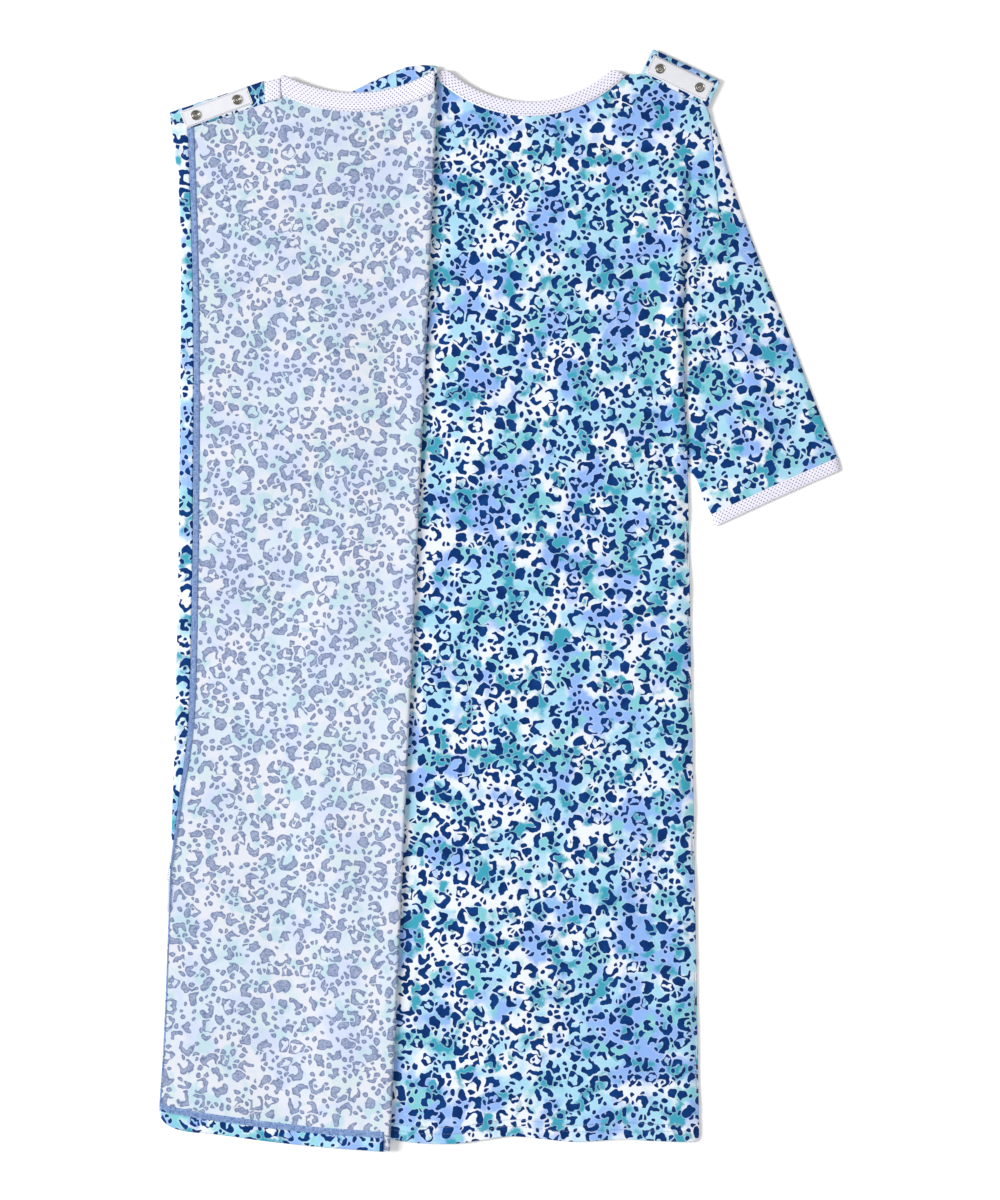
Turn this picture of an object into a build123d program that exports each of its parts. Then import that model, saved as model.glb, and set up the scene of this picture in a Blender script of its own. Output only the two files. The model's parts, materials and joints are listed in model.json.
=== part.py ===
"""Open-back patient gown, laid flat on its front with the over panel folded open.

Millimetres, +Z up from the surface that the gown lies on, +Y towards the neck.
The origin is the centre of the gown's outline, on that surface. Each layer of
jersey is a plain flat plate. Layers that are sewn together touch, and layers
that move apart are kept clear of each other.
"""
import os

from build123d import *

# ---- layers, as heights above the surface ----
CLOTH = 1.0
FRONT_Z = 0.0
SLEEVE_HEIGHT = 2.5
TAB_HEIGHT = 1.2
UNDER_Z = 4.0
BASE_Z = UNDER_Z + CLOTH
FLAP_GAP = 0.6
FLAP_Z = BASE_Z + CLOTH + FLAP_GAP
TAB_Z = UNDER_Z - TAB_HEIGHT
TURNED_HEM = 0.6
FACING = 0.5
TAPE = 0.4
THREAD = 0.3
TOPSTITCH = 0.15

# ---- body of the gown ----
NECK_X = 31.0
NECK_POINT_HALF = 100.4
NECK_POINT_Y = 550.3
SHOULDER_TIP = (212.0, 514.0)
UNDERARM = (197.0, 137.0)
HEM_CORNER_X = 209.0
FRONT_HEM_Y = -562.0
BACK_HEM_Y = -567.0
HEM_DEPTH = 20.0
BACK_NECK_DEPTH = 42.3
FRONT_NECK_DEPTH = 81.0
BINDING = 14.5
SEAM_ALLOWANCE = 7.0
SEAM_START_SHARE = 0.12
SEAM_END_SHARE = 0.06
FRONT_CORNER_STEP = (-2.0, -1.0)
UNDER_SHOULDER_TIP = (-146.0, 519.0)
UNDER_FREE_EDGE_X = -127.0
UNDER_EDGE_TOP_Y = 274.0
UNDER_EDGE_HEM = 12.0
TOPSTITCH_ROWS = (10.5, 17.5)
TOPSTITCH_WIDTH = 0.8

# ---- over panel: sewn base, fold line and turned-back flap ----
FOLD_TOP = (-66.7, 561.0)
FOLD_BOTTOM = (-118.0, -577.5)
LEFT_SHOULDER = ((-98.0, 558.4), (-154.0, 533.5), (-150.0, 514.0))
FOLD_CLEARANCE = 0.4
FOLD_GAP = 1.6
FLAP_NECK_CENTRE = (-151.0, 692.0)
FLAP_NECK_RADIUS = 180.0
FLAP_BINDING = 19.5
FLAP_NECK_END_X = -230.5
BINDING_END = (16.0, 23.0)
FLAP_TIP = (-346.0, 511.0)
FLAP_SHOULDER_END = (-248.0, 543.5)
FLAP_EDGE = ((-335.5, 411.0), (-334.5, 256.0), (-340.0, -95.0), (-351.0, -420.0), (-357.3, -528.0))
FLAP_CORNER = ((-354.0, -546.0), (-335.0, -556.5), (-296.0, -561.0))
FLAP_BOTTOM_MID = (-187.0, -573.5)
EDGE_HEM_INNER = ((-326.5, 481.0), (-321.0, 256.0), (-325.5, -95.0))
EDGE_HEM_END = (-348.0, -295.0)
EDGE_BAND = 6.5
EDGE_BAND_END_STEP = 3.25
EDGE_CUT_REACH = 40.0
BOTTOM_HEM = 14.0
BOTTOM_BAND = 7.0
FACING_DEPTH = 22.5

# ---- sleeves, drawn on the right and mirrored for the left ----
SLEEVE_TIP = (221.0, 507.0)
SLEEVE_TOP_Y = 504.0
SLEEVE_OUTER = ((231.5, 476.5), (262.3, 381.0), (303.0, 279.0), (340.0, 181.0))
CUFF_OUTER = (354.3, 149.0)
CUFF_INNER = (222.8, 89.8)
SLEEVE_UNDER = ((214.7, 104.0), (204.0, 131.0))
CUFF_DROP = (3.2, -11.4)
ARMHOLE_SEAM = 6.0
ARMHOLE_SEAM_HEIGHT = 0.6
SLEEVE_CLEARANCE = 0.6

# ---- shoulder tab and snap tapes ----
TAB_CENTRE = (187.8, 544.6)
TAB_ANGLE = -25.3
TAB_LENGTH = 78.0
TAB_DEPTH = 36.6
TAB_TAPE_CENTRE = (188.6, 547.2)
TAPE_LENGTH = 70.0
TAPE_WIDTH = 21.5
FLAP_TAPE_CENTRE = (-296.9, 515.6)
FLAP_TAPE_ANGLE = 20.5
FLAP_TAPE_LENGTH = 75.0
FLAP_TAPE_WIDTH = 19.0
LEFT_TAPE_CENTRE = (-101.7, 518.5)
LEFT_TAPE_ANGLE = 22.2

# ---- ring snaps ----
SNAP_PITCH = 46.0
SNAP_RADIUS = 5.4
FLANGE = 0.7
STUD_NECK_RADIUS = 1.5
STUD_NECK = 0.5
STUD_HEAD_RADIUS = 1.8
STUD_HEAD = 0.6
SOCKET = 1.5
SOCKET_FLOOR = 0.3
SOCKET_BORE = 2.5
RIM_RECESS = 0.35
RIM_WIDTH = 0.9
SPRING_RADIUS = 2.05
SPRING_WIRE = 0.25
SPRING_GAP_DEG = 40.0
RING_INNER = 3.4
RING = 0.5
PRONGS = 5
PRONG_CIRCLE = 4.3
PRONG_WIDTH = 1.0
PRONG_THICKNESS = 0.5
PRONG_CLEARANCE = 0.1


def plate(outline, low, height):
    """Flat piece from a closed outline, standing on height low."""
    return extrude(Pos(0, 0, low) * make_face(outline.edges()), height)


def strip(centre, angle, length, width, low, height):
    """Rectangular piece turned by angle about its centre."""
    return extrude(Pos(*centre, low) * Rot(0, 0, angle) * Rectangle(length, width), height)


def mirrored(point):
    """Point on the other side of the neck's centre line."""
    return (2 * NECK_X - point[0], point[1])


def moved(point, step):
    return (point[0] + step[0], point[1] + step[1])


def fold_x(y):
    """X of the fold line at height y of the gown."""
    slope = (FOLD_TOP[0] - FOLD_BOTTOM[0]) / (FOLD_TOP[1] - FOLD_BOTTOM[1])
    return FOLD_TOP[0] + slope * (y - FOLD_TOP[1])


def side_x(y):
    """X of the right side of the body, from the hem up to the underarm."""
    share = (UNDERARM[1] - y) / (UNDERARM[1] - BACK_HEM_Y)
    return UNDERARM[0] + share * (HEM_CORNER_X - UNDERARM[0])


def circle_y(centre, radius, x):
    """Lower crossing of a circle at x."""
    return centre[1] - (radius**2 - (x - centre[0]) ** 2) ** 0.5


# ---- necklines ----
RIGHT_NECK = (NECK_X + NECK_POINT_HALF, NECK_POINT_Y)
LEFT_NECK = mirrored(RIGHT_NECK)


def neck_radius(depth):
    return (NECK_POINT_HALF**2 + depth**2) / (2 * depth)


def neck_low(depth):
    return (NECK_X, NECK_POINT_Y - depth)


def neck_binding(depth, low):
    """Band round a neckline, from its sewn edge to its folded edge."""
    radius = neck_radius(depth)
    centre = Vector(NECK_X, NECK_POINT_Y - depth + radius)
    inner = (radius - BINDING) / radius
    right_end = centre + (Vector(*RIGHT_NECK) - centre) * inner
    left_end = centre + (Vector(*LEFT_NECK) - centre) * inner
    folded_low = (NECK_X, NECK_POINT_Y - depth + BINDING)
    outline = ThreePointArc(LEFT_NECK, neck_low(depth), RIGHT_NECK)
    outline += Line(RIGHT_NECK, right_end)
    outline += ThreePointArc(right_end, folded_low, left_end)
    outline += Line(left_end, LEFT_NECK)
    return plate(outline, low, CLOTH)


# ---- ring snaps ----
def snap_spots(centre, angle):
    """The two snaps of a tape, on its middle line."""
    half = Vector(SNAP_PITCH / 2, 0).rotate(Axis.Z, angle)
    return [Vector(*centre) - half, Vector(*centre) + half]


def group(spots, low, solid):
    """One node of identical pieces, one at each spot."""
    return Compound([Pos(spot.X, spot.Y, low) * solid for spot in spots])


def rim_groove():
    """Ring-shaped recess inside the rolled rim of a snap."""
    outer = SNAP_RADIUS - RIM_WIDTH
    return Cylinder(outer, RIM_RECESS) - Cylinder(outer - RIM_WIDTH, RIM_RECESS)


def stud():
    """Male half: a flange with a rolled rim and a headed post."""
    flange = Pos(0, 0, FLANGE / 2) * Cylinder(SNAP_RADIUS, FLANGE)
    flange -= Pos(0, 0, FLANGE - RIM_RECESS / 2) * rim_groove()
    neck = Pos(0, 0, FLANGE + STUD_NECK / 2) * Cylinder(STUD_NECK_RADIUS, STUD_NECK)
    head = Pos(0, 0, FLANGE + STUD_NECK + STUD_HEAD / 2) * Cylinder(STUD_HEAD_RADIUS, STUD_HEAD)
    return flange + neck + head


def socket():
    """Female half: a disc with a rolled rim, open at the top."""
    disc = Pos(0, 0, SOCKET / 2) * Cylinder(SNAP_RADIUS, SOCKET)
    disc -= Pos(0, 0, SOCKET - RIM_RECESS / 2) * rim_groove()
    depth = SOCKET - SOCKET_FLOOR
    return disc - Pos(0, 0, SOCKET_FLOOR + depth / 2) * Cylinder(SOCKET_BORE, depth)


def spring():
    """Split wire ring that grips the stud's neck."""
    section = Plane.XZ * Pos(SPRING_RADIUS, 0) * Circle(SPRING_WIRE)
    return revolve(section, Axis.Z, 360 - SPRING_GAP_DEG)


def prongs(height, clearance=0.0):
    """Prongs of a ring, standing on z = 0."""
    size = (PRONG_THICKNESS + clearance, PRONG_WIDTH + clearance, height)
    prong = Pos(PRONG_CIRCLE, 0, height / 2) * Box(*size)
    return [Rot(0, 0, 360 / PRONGS * turn) * prong for turn in range(PRONGS)]


def prong_ring(grip):
    """Ring on the far side of the cloth, with prongs through grip of cloth and tape."""
    ring = Pos(0, 0, RING / 2) * (Cylinder(SNAP_RADIUS, RING) - Cylinder(RING_INNER, RING))
    return ring + [Pos(0, 0, RING) * prong for prong in prongs(grip)]


def pierced(piece, spots, low, height):
    """Piece with a slot for each prong, from height low up."""
    tools = [Pos(s.X, s.Y, low) * prong for s in spots for prong in prongs(height, PRONG_CLEARANCE)]
    return piece - tools


def recessed(piece, spots, low):
    """Piece pinched in by a prong ring that lies flush with its surface."""
    seat = Pos(0, 0, RING / 2) * (Cylinder(SNAP_RADIUS, RING) - Cylinder(RING_INNER, RING))
    return piece - [Pos(s.X, s.Y, low) * seat for s in spots]


# ---- front panel and its trim ----
def front_panel():
    fold_corner = moved(LEFT_NECK, FRONT_CORNER_STEP)
    outline = ThreePointArc(RIGHT_NECK, neck_low(FRONT_NECK_DEPTH), LEFT_NECK)
    outline += Polyline(LEFT_NECK, fold_corner, *LEFT_SHOULDER, mirrored(UNDERARM),
                        mirrored((side_x(FRONT_HEM_Y + HEM_DEPTH), FRONT_HEM_Y + HEM_DEPTH)))
    outline += Polyline(mirrored((side_x(FRONT_HEM_Y + HEM_DEPTH), FRONT_HEM_Y + HEM_DEPTH)),
                        (side_x(FRONT_HEM_Y + HEM_DEPTH), FRONT_HEM_Y + HEM_DEPTH),
                        UNDERARM, SHOULDER_TIP, RIGHT_NECK)
    return plate(outline, FRONT_Z, CLOTH)


def hem_band(left_x, right_x, hem_y, low):
    """Turned hem that carries a panel on down to its hem line."""
    top = hem_y + HEM_DEPTH
    outline = Polyline((left_x(top), top), (right_x(top), top),
                       (right_x(hem_y), hem_y), (left_x(hem_y), hem_y), close=True)
    return plate(outline, low, CLOTH)


def left_side_x(y):
    return mirrored((side_x(y), y))[0]


# ---- under panel ----
def under_panel():
    top_y = BACK_HEM_Y + HEM_DEPTH
    edge_top = (UNDER_FREE_EDGE_X + UNDER_EDGE_HEM, UNDER_EDGE_TOP_Y)
    outline = ThreePointArc(RIGHT_NECK, neck_low(BACK_NECK_DEPTH), LEFT_NECK)
    outline += Polyline(LEFT_NECK, UNDER_SHOULDER_TIP, edge_top,
                        (UNDER_FREE_EDGE_X + UNDER_EDGE_HEM, top_y), (side_x(top_y), top_y),
                        UNDERARM, SHOULDER_TIP, RIGHT_NECK)
    return plate(outline, UNDER_Z, CLOTH)


def under_edge_hem():
    """Turned hem along the free edge that is hidden under the over panel."""
    top = (UNDER_FREE_EDGE_X + UNDER_EDGE_HEM, UNDER_EDGE_TOP_Y)
    low_y = BACK_HEM_Y + HEM_DEPTH
    outline = Polyline(UNDER_SHOULDER_TIP, top, (top[0], low_y), (UNDER_FREE_EDGE_X, low_y),
                       (UNDER_FREE_EDGE_X, top[1]), close=True)
    return plate(outline, UNDER_Z, CLOTH)


def under_hem_stitching():
    """Twin-needle rows on the visible stretch of the under panel's hem."""
    rows = []
    for above in TOPSTITCH_ROWS:
        y = BACK_HEM_Y + above
        left = fold_x(y) + 2 * SEAM_ALLOWANCE
        right = side_x(y) - SEAM_ALLOWANCE
        centre = ((left + right) / 2, y)
        rows.append(strip(centre, 0, right - left, TOPSTITCH_WIDTH, BASE_Z, TOPSTITCH))
    return Compound(rows)


# ---- over panel ----
def over_panel_base():
    top_y = BACK_HEM_Y + HEM_DEPTH
    outline = Polyline(FOLD_TOP, *LEFT_SHOULDER, mirrored(UNDERARM), (left_side_x(top_y), top_y),
                       (fold_x(top_y), top_y), close=True)
    return plate(outline, BASE_Z, CLOTH)


def over_panel_fold():
    """Half-round roll of cloth that joins the base to the flap at the fold line."""
    top = Vector(*FOLD_TOP)
    along = Vector(*FOLD_BOTTOM) - top
    middle = (BASE_Z + FLAP_Z + CLOTH) / 2
    outer = middle - BASE_Z
    inner = outer - CLOTH
    across = Plane(origin=(*FOLD_TOP, middle), x_dir=(0, 0, 1), z_dir=along.normalized())
    ring = Circle(outer) - Circle(inner)
    half = ring & (Pos(0, -outer) * Rectangle(4 * outer, 2 * outer))
    return extrude(across * half, along.length)


def flap_left_edge():
    return Spline(FLAP_TIP, *FLAP_EDGE)


def flap_neck_outline():
    """Neckline arc of the flap from the fold to the binding's folded end."""
    right_x = fold_x(FOLD_TOP[1]) - FOLD_GAP
    start = (right_x, circle_y(FLAP_NECK_CENTRE, FLAP_NECK_RADIUS, right_x))
    low = (FLAP_NECK_CENTRE[0], FLAP_NECK_CENTRE[1] - FLAP_NECK_RADIUS)
    end = (FLAP_NECK_END_X, circle_y(FLAP_NECK_CENTRE, FLAP_NECK_RADIUS, FLAP_NECK_END_X))
    return start, low, end


def flap_panel():
    start, low, end = flap_neck_outline()
    block_y = FLAP_SHOULDER_END[1] - BINDING_END[1] + CLOTH
    block_left = FLAP_NECK_END_X - BINDING_END[0]
    outline = ThreePointArc(start, low, end)
    outline += Polyline(end, (FLAP_NECK_END_X, block_y), (block_left, block_y), FLAP_SHOULDER_END,
                        FLAP_TIP)
    outline += flap_left_edge()
    outline += Spline(FLAP_EDGE[-1], *FLAP_CORNER)
    outline += Spline(FLAP_CORNER[-1], FLAP_BOTTOM_MID, (FOLD_BOTTOM[0] - FOLD_CLEARANCE, FOLD_BOTTOM[1]))
    outline += Line((FOLD_BOTTOM[0] - FOLD_CLEARANCE, FOLD_BOTTOM[1]), start)
    return plate(outline, FLAP_Z, CLOTH)


def flap_neck_binding():
    start, low, end = flap_neck_outline()
    radius = FLAP_NECK_RADIUS - FLAP_BINDING
    outer_start = (start[0], circle_y(FLAP_NECK_CENTRE, radius, start[0]))
    outer_low = (low[0], low[1] + FLAP_BINDING)
    outer_end = (end[0], circle_y(FLAP_NECK_CENTRE, radius, end[0]))
    outline = ThreePointArc(start, low, end)
    outline += Line(end, outer_end)
    outline += ThreePointArc(outer_end, outer_low, outer_start)
    outline += Line(outer_start, start)
    return plate(outline, FLAP_Z, CLOTH)


def flap_binding_end():
    """Folded end of the neck binding, beside the shoulder facing."""
    centre = (FLAP_NECK_END_X - BINDING_END[0] / 2 + FOLD_CLEARANCE / 2,
              FLAP_SHOULDER_END[1] + CLOTH - BINDING_END[1] / 2)
    size = (BINDING_END[0] - FOLD_CLEARANCE, BINDING_END[1])
    block = strip(centre, 0, *size, FLAP_Z, CLOTH)
    return block - flap_panel()


def on_flap(outline, height):
    """Piece laid on the flap's wrong side and trimmed to the flap's outline."""
    return plate(outline, FLAP_Z + CLOTH, height) & Pos(0, 0, CLOTH) * flap_panel()


def flap_edge_hem():
    """Turned edge that shows the printed side, narrowing to nothing at its lower end."""
    outside = moved(EDGE_HEM_INNER[0], (-EDGE_CUT_REACH, 0))
    outline = Spline(*EDGE_HEM_INNER, EDGE_HEM_END)
    outline += Polyline(EDGE_HEM_END, (outside[0], EDGE_HEM_END[1]), outside, EDGE_HEM_INNER[0])
    return on_flap(outline, TURNED_HEM)


def flap_edge_stitching():
    """Looper-thread band that covers the raw edge of the turned hem."""
    lower_end = moved(FLAP_EDGE[-1], (EDGE_BAND_END_STEP, 0))
    edge = (*EDGE_HEM_INNER, EDGE_HEM_END, lower_end)
    shifted = [moved(point, (EDGE_BAND, 0)) for point in edge]
    outline = Spline(*edge) + Line(edge[-1], shifted[-1])
    outline += Spline(*reversed(shifted))
    outline += Line(shifted[0], edge[0])
    return on_flap(outline, THREAD) - flap_edge_hem()


def bottom_band(low_offset, depth, height):
    """Band along the flap's bottom edge, low_offset above that edge."""
    end = (FOLD_BOTTOM[0] - FOLD_GAP, FOLD_BOTTOM[1])
    edge = (*FLAP_CORNER[1:], FLAP_BOTTOM_MID, end)
    points = [moved(point, (0, low_offset)) for point in edge]
    raised = [moved(point, (0, depth)) for point in points]
    outline = Spline(*points) + Line(points[-1], raised[-1])
    outline += Spline(*reversed(raised))
    outline += Line(raised[0], points[0])
    return on_flap(outline, height)


def flap_shoulder_facing():
    """Self-fabric facing under the snap tape, on the flap's wrong side."""
    edge = Vector(*FLAP_SHOULDER_END) - Vector(*FLAP_TIP)
    inward = edge.normalized().rotate(Axis.Z, -90) * FACING_DEPTH
    tip = Vector(*FLAP_TIP)
    outline = Polyline(tip, tip + edge, tip + edge + inward, tip + inward, close=True)
    return plate(outline, FLAP_Z + CLOTH, FACING)


# ---- sleeves ----
def armhole_line():
    """The sleeve's sewn edge, kept clear of the body that it folds against and of the tab above."""
    share = (SLEEVE_TOP_Y - UNDERARM[1]) / (SHOULDER_TIP[1] - UNDERARM[1])
    top_x = UNDERARM[0] + share * (SHOULDER_TIP[0] - UNDERARM[0])
    return moved(UNDERARM, (SLEEVE_CLEARANCE, 0)), (top_x + SLEEVE_CLEARANCE, SLEEVE_TOP_Y)


def sleeve():
    low, top = armhole_line()
    outline = Line(low, top)
    outline += Line(top, SLEEVE_TIP)
    outline += Spline(SLEEVE_TIP, *SLEEVE_OUTER, CUFF_OUTER)
    outline += Line(CUFF_OUTER, CUFF_INNER)
    outline += Polyline(CUFF_INNER, *SLEEVE_UNDER, low)
    return plate(outline, FRONT_Z, SLEEVE_HEIGHT)


def cuff_binding():
    outline = Polyline(CUFF_OUTER, CUFF_INNER, moved(CUFF_INNER, CUFF_DROP),
                       moved(CUFF_OUTER, CUFF_DROP), close=True)
    return plate(outline, FRONT_Z, SLEEVE_HEIGHT)


def armhole_seam():
    """Overlocked allowance along the sleeve's sewn edge."""
    low, top = armhole_line()
    low = moved(low, (0, 2 * ARMHOLE_SEAM))
    top = moved(top, (0, -2 * ARMHOLE_SEAM))
    outline = Polyline(low, top, moved(top, (ARMHOLE_SEAM, 0)), moved(low, (ARMHOLE_SEAM, 0)), close=True)
    return plate(outline, FRONT_Z + SLEEVE_HEIGHT, ARMHOLE_SEAM_HEIGHT)


def left_of(piece):
    return piece.mirror(Plane.YZ.offset(NECK_X))


# ---- seams that hold the front to the back ----
def side_seam(sign, high):
    """Overlocked side seam between the front panel and a back panel."""
    outer = UNDERARM if sign > 0 else mirrored(UNDERARM)
    hem_y = FRONT_HEM_Y + HEM_DEPTH
    hem = (side_x(hem_y), hem_y) if sign > 0 else (left_side_x(hem_y), hem_y)
    step = (-sign * SEAM_ALLOWANCE, 0)
    outline = Polyline(outer, hem, moved(hem, step), moved(outer, step), close=True)
    return plate(outline, FRONT_Z + CLOTH, high - CLOTH)


def shoulder_seam(start, end, high):
    """Overlocked shoulder seam, just inside the line from start to end."""
    line = Vector(*end) - Vector(*start)
    inward = line.normalized().rotate(Axis.Z, -90 if line.X > 0 else 90) * SEAM_ALLOWANCE
    first = Vector(*start) + line * SEAM_START_SHARE
    last = Vector(*end) - line * SEAM_END_SHARE
    outline = Polyline(first, last, last + inward, first + inward, close=True)
    return plate(outline, FRONT_Z + CLOTH, high - CLOTH)


# ---- the closures ----
def tab_spots():
    return snap_spots(TAB_TAPE_CENTRE, TAB_ANGLE)


def flap_spots():
    return snap_spots(FLAP_TAPE_CENTRE, FLAP_TAPE_ANGLE)


def left_spots():
    return snap_spots(LEFT_TAPE_CENTRE, LEFT_TAPE_ANGLE)


def turned_over(solid, high):
    """A snap half that faces down, with its back at height high."""
    return Pos(0, 0, high) * Rot(180, 0, 0) * solid


def tab_nodes():
    """Tab on the right shoulder seam, with its tape and two studs facing up."""
    top = TAB_Z + TAB_HEIGHT
    tab = strip(TAB_CENTRE, TAB_ANGLE, TAB_LENGTH, TAB_DEPTH, TAB_Z, TAB_HEIGHT)
    tape = strip(TAB_TAPE_CENTRE, TAB_ANGLE, TAPE_LENGTH, TAPE_WIDTH, top, TAPE)
    grip = TAB_HEIGHT + TAPE
    return {
        "shoulder_tab": pierced(tab, tab_spots(), TAB_Z, grip),
        "tab_snap_tape": pierced(tape, tab_spots(), TAB_Z, grip),
        "tab_studs": group(tab_spots(), top + TAPE, stud()),
        "tab_prong_rings": group(tab_spots(), TAB_Z - RING, prong_ring(grip)),
    }


def flap_closure_nodes():
    """Facing, tape and two sockets on the flap's wrong side."""
    facing_z = FLAP_Z + CLOTH
    tape_z = facing_z + FACING
    grip = CLOTH + FACING + TAPE
    tape = strip(FLAP_TAPE_CENTRE, FLAP_TAPE_ANGLE, FLAP_TAPE_LENGTH, FLAP_TAPE_WIDTH, tape_z, TAPE)
    spring_z = tape_z + TAPE + SOCKET - 2 * SPRING_WIRE
    return {
        "over_panel_flap": pierced(flap_panel(), flap_spots(), FLAP_Z, grip),
        "flap_shoulder_facing": pierced(flap_shoulder_facing(), flap_spots(), FLAP_Z, grip),
        "flap_snap_tape": pierced(tape, flap_spots(), FLAP_Z, grip),
        "flap_sockets": group(flap_spots(), tape_z + TAPE, socket()),
        "flap_socket_springs": group(flap_spots(), spring_z, spring()),
        "flap_prong_rings": group(flap_spots(), FLAP_Z - RING, prong_ring(grip)),
    }


def left_closure_nodes():
    """Hidden closure that holds the under panel's free corner to the left shoulder."""
    spots = left_spots()
    stud_tape_z = FRONT_Z + CLOTH
    socket_tape_z = UNDER_Z - TAPE
    stud_tape = strip(LEFT_TAPE_CENTRE, LEFT_TAPE_ANGLE, TAPE_LENGTH, TAPE_WIDTH, stud_tape_z, TAPE)
    socket_tape = strip(LEFT_TAPE_CENTRE, LEFT_TAPE_ANGLE, TAPE_LENGTH, TAPE_WIDTH, socket_tape_z, TAPE)
    grip = CLOTH - RING + TAPE
    low_ring = prong_ring(grip)
    high_ring = turned_over(prong_ring(grip), UNDER_Z + CLOTH)
    stud_z = stud_tape_z + TAPE
    spring_z = stud_z + FLANGE + STUD_NECK / 2
    front = pierced(recessed(front_panel(), spots, FRONT_Z), spots, FRONT_Z, CLOTH)
    under = pierced(recessed(under_panel(), spots, UNDER_Z + CLOTH - RING), spots, UNDER_Z, CLOTH)
    return {
        "front_panel": front,
        "under_panel": under,
        "left_stud_tape": pierced(stud_tape, spots, stud_tape_z, TAPE),
        "left_studs": group(spots, stud_z, stud()),
        "left_stud_prong_rings": group(spots, FRONT_Z, low_ring),
        "under_snap_tape": pierced(socket_tape, spots, socket_tape_z, TAPE),
        "under_sockets": group(spots, 0, turned_over(socket(), socket_tape_z)),
        "under_socket_springs": group(spots, spring_z, spring()),
        "under_prong_rings": group(spots, 0, high_ring),
    }


NODES = {
    "front_neck_binding": neck_binding(FRONT_NECK_DEPTH, FRONT_Z),
    "front_hem": hem_band(left_side_x, side_x, FRONT_HEM_Y, FRONT_Z),
    "under_neck_binding": neck_binding(BACK_NECK_DEPTH, UNDER_Z),
    "under_hem": hem_band(lambda y: UNDER_FREE_EDGE_X, side_x, BACK_HEM_Y, UNDER_Z),
    "under_edge_hem": under_edge_hem(),
    "under_hem_stitching": under_hem_stitching(),
    "over_panel_base": over_panel_base(),
    "over_base_hem": hem_band(left_side_x, fold_x, BACK_HEM_Y, BASE_Z),
    "over_panel_fold": over_panel_fold(),
    "right_side_seam": side_seam(1, UNDER_Z),
    "left_side_seam": side_seam(-1, BASE_Z),
    "right_shoulder_seam": shoulder_seam(RIGHT_NECK, SHOULDER_TIP, TAB_Z),
    "left_shoulder_seam": shoulder_seam(LEFT_SHOULDER[0], LEFT_SHOULDER[1], BASE_Z),
    "flap_neck_binding": flap_neck_binding(),
    "flap_binding_end": flap_binding_end(),
    "flap_edge_hem": flap_edge_hem(),
    "flap_bottom_hem": bottom_band(THREAD, BOTTOM_HEM, TURNED_HEM),
    "flap_edge_stitching": flap_edge_stitching(),
    "flap_bottom_stitching": bottom_band(2 * THREAD + BOTTOM_HEM, BOTTOM_BAND, THREAD),
    "right_sleeve": sleeve(),
    "right_cuff_binding": cuff_binding(),
    "right_armhole_seam": armhole_seam(),
    "left_sleeve": left_of(sleeve()),
    "left_cuff_binding": left_of(cuff_binding()),
    "left_armhole_seam": left_of(armhole_seam()),
    **tab_nodes(),
    **flap_closure_nodes(),
    **left_closure_nodes(),
}

os.makedirs("parts", exist_ok=True)
for name, shape in NODES.items():
    export_step(shape, f"parts/{name}.step")
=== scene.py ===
"""Looks of an open-back patient gown, laid flat on its front with its over panel folded open.

Every place is in metres in the row frame: +Z up from the surface, +Y towards the neck.
"""

import json
import math
import random
from functools import partialmethod

import bpy
import numpy as np
from mathutils.geometry import delaunay_2d_cdt
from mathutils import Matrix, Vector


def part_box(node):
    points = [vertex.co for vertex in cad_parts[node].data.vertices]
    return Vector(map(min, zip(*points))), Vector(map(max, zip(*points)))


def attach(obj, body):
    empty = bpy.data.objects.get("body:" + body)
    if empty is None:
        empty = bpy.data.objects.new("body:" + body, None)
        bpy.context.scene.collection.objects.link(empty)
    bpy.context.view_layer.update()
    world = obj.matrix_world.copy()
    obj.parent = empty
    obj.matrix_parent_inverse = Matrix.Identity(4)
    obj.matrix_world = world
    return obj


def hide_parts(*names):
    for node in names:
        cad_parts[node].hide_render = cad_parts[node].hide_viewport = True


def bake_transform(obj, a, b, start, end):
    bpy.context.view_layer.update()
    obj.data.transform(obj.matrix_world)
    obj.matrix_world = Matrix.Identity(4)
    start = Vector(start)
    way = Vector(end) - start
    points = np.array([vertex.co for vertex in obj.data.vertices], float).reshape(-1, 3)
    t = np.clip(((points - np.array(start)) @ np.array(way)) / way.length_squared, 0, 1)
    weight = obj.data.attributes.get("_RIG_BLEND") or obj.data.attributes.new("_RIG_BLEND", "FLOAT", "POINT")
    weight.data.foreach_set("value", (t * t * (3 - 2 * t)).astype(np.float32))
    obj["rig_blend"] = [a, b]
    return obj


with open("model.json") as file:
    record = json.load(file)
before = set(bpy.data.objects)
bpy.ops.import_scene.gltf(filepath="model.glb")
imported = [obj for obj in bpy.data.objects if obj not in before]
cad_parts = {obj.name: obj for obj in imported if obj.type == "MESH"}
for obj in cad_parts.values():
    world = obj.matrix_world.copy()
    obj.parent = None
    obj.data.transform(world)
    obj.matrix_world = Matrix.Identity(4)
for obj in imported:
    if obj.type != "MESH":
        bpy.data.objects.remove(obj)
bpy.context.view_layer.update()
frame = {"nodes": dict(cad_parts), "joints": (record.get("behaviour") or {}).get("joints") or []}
random.seed(7)

MM = 0.001


def mm(*points):
    """Points given in millimetres, as metres."""
    return np.array(points, float) * MM


# ---- cloth and layers ----
CLOTH = 0.8 * MM
GRID = 6.0 * MM
EDGE_STEP = 4.0 * MM
RIMS = (0.9 * MM, 2.4 * MM)
FINE_STEPS = tuple(step * MM for step in (-9, -6, -4, -2, 0, 2, 4, 6, 9))
FRONT_Z = 0.5 * MM
UNDER_Z = 4.5 * MM
BASE_Z = 5.6 * MM
FLAP_Z = 7.1 * MM
FOLD_RADIUS = 2.3 * MM

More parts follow.
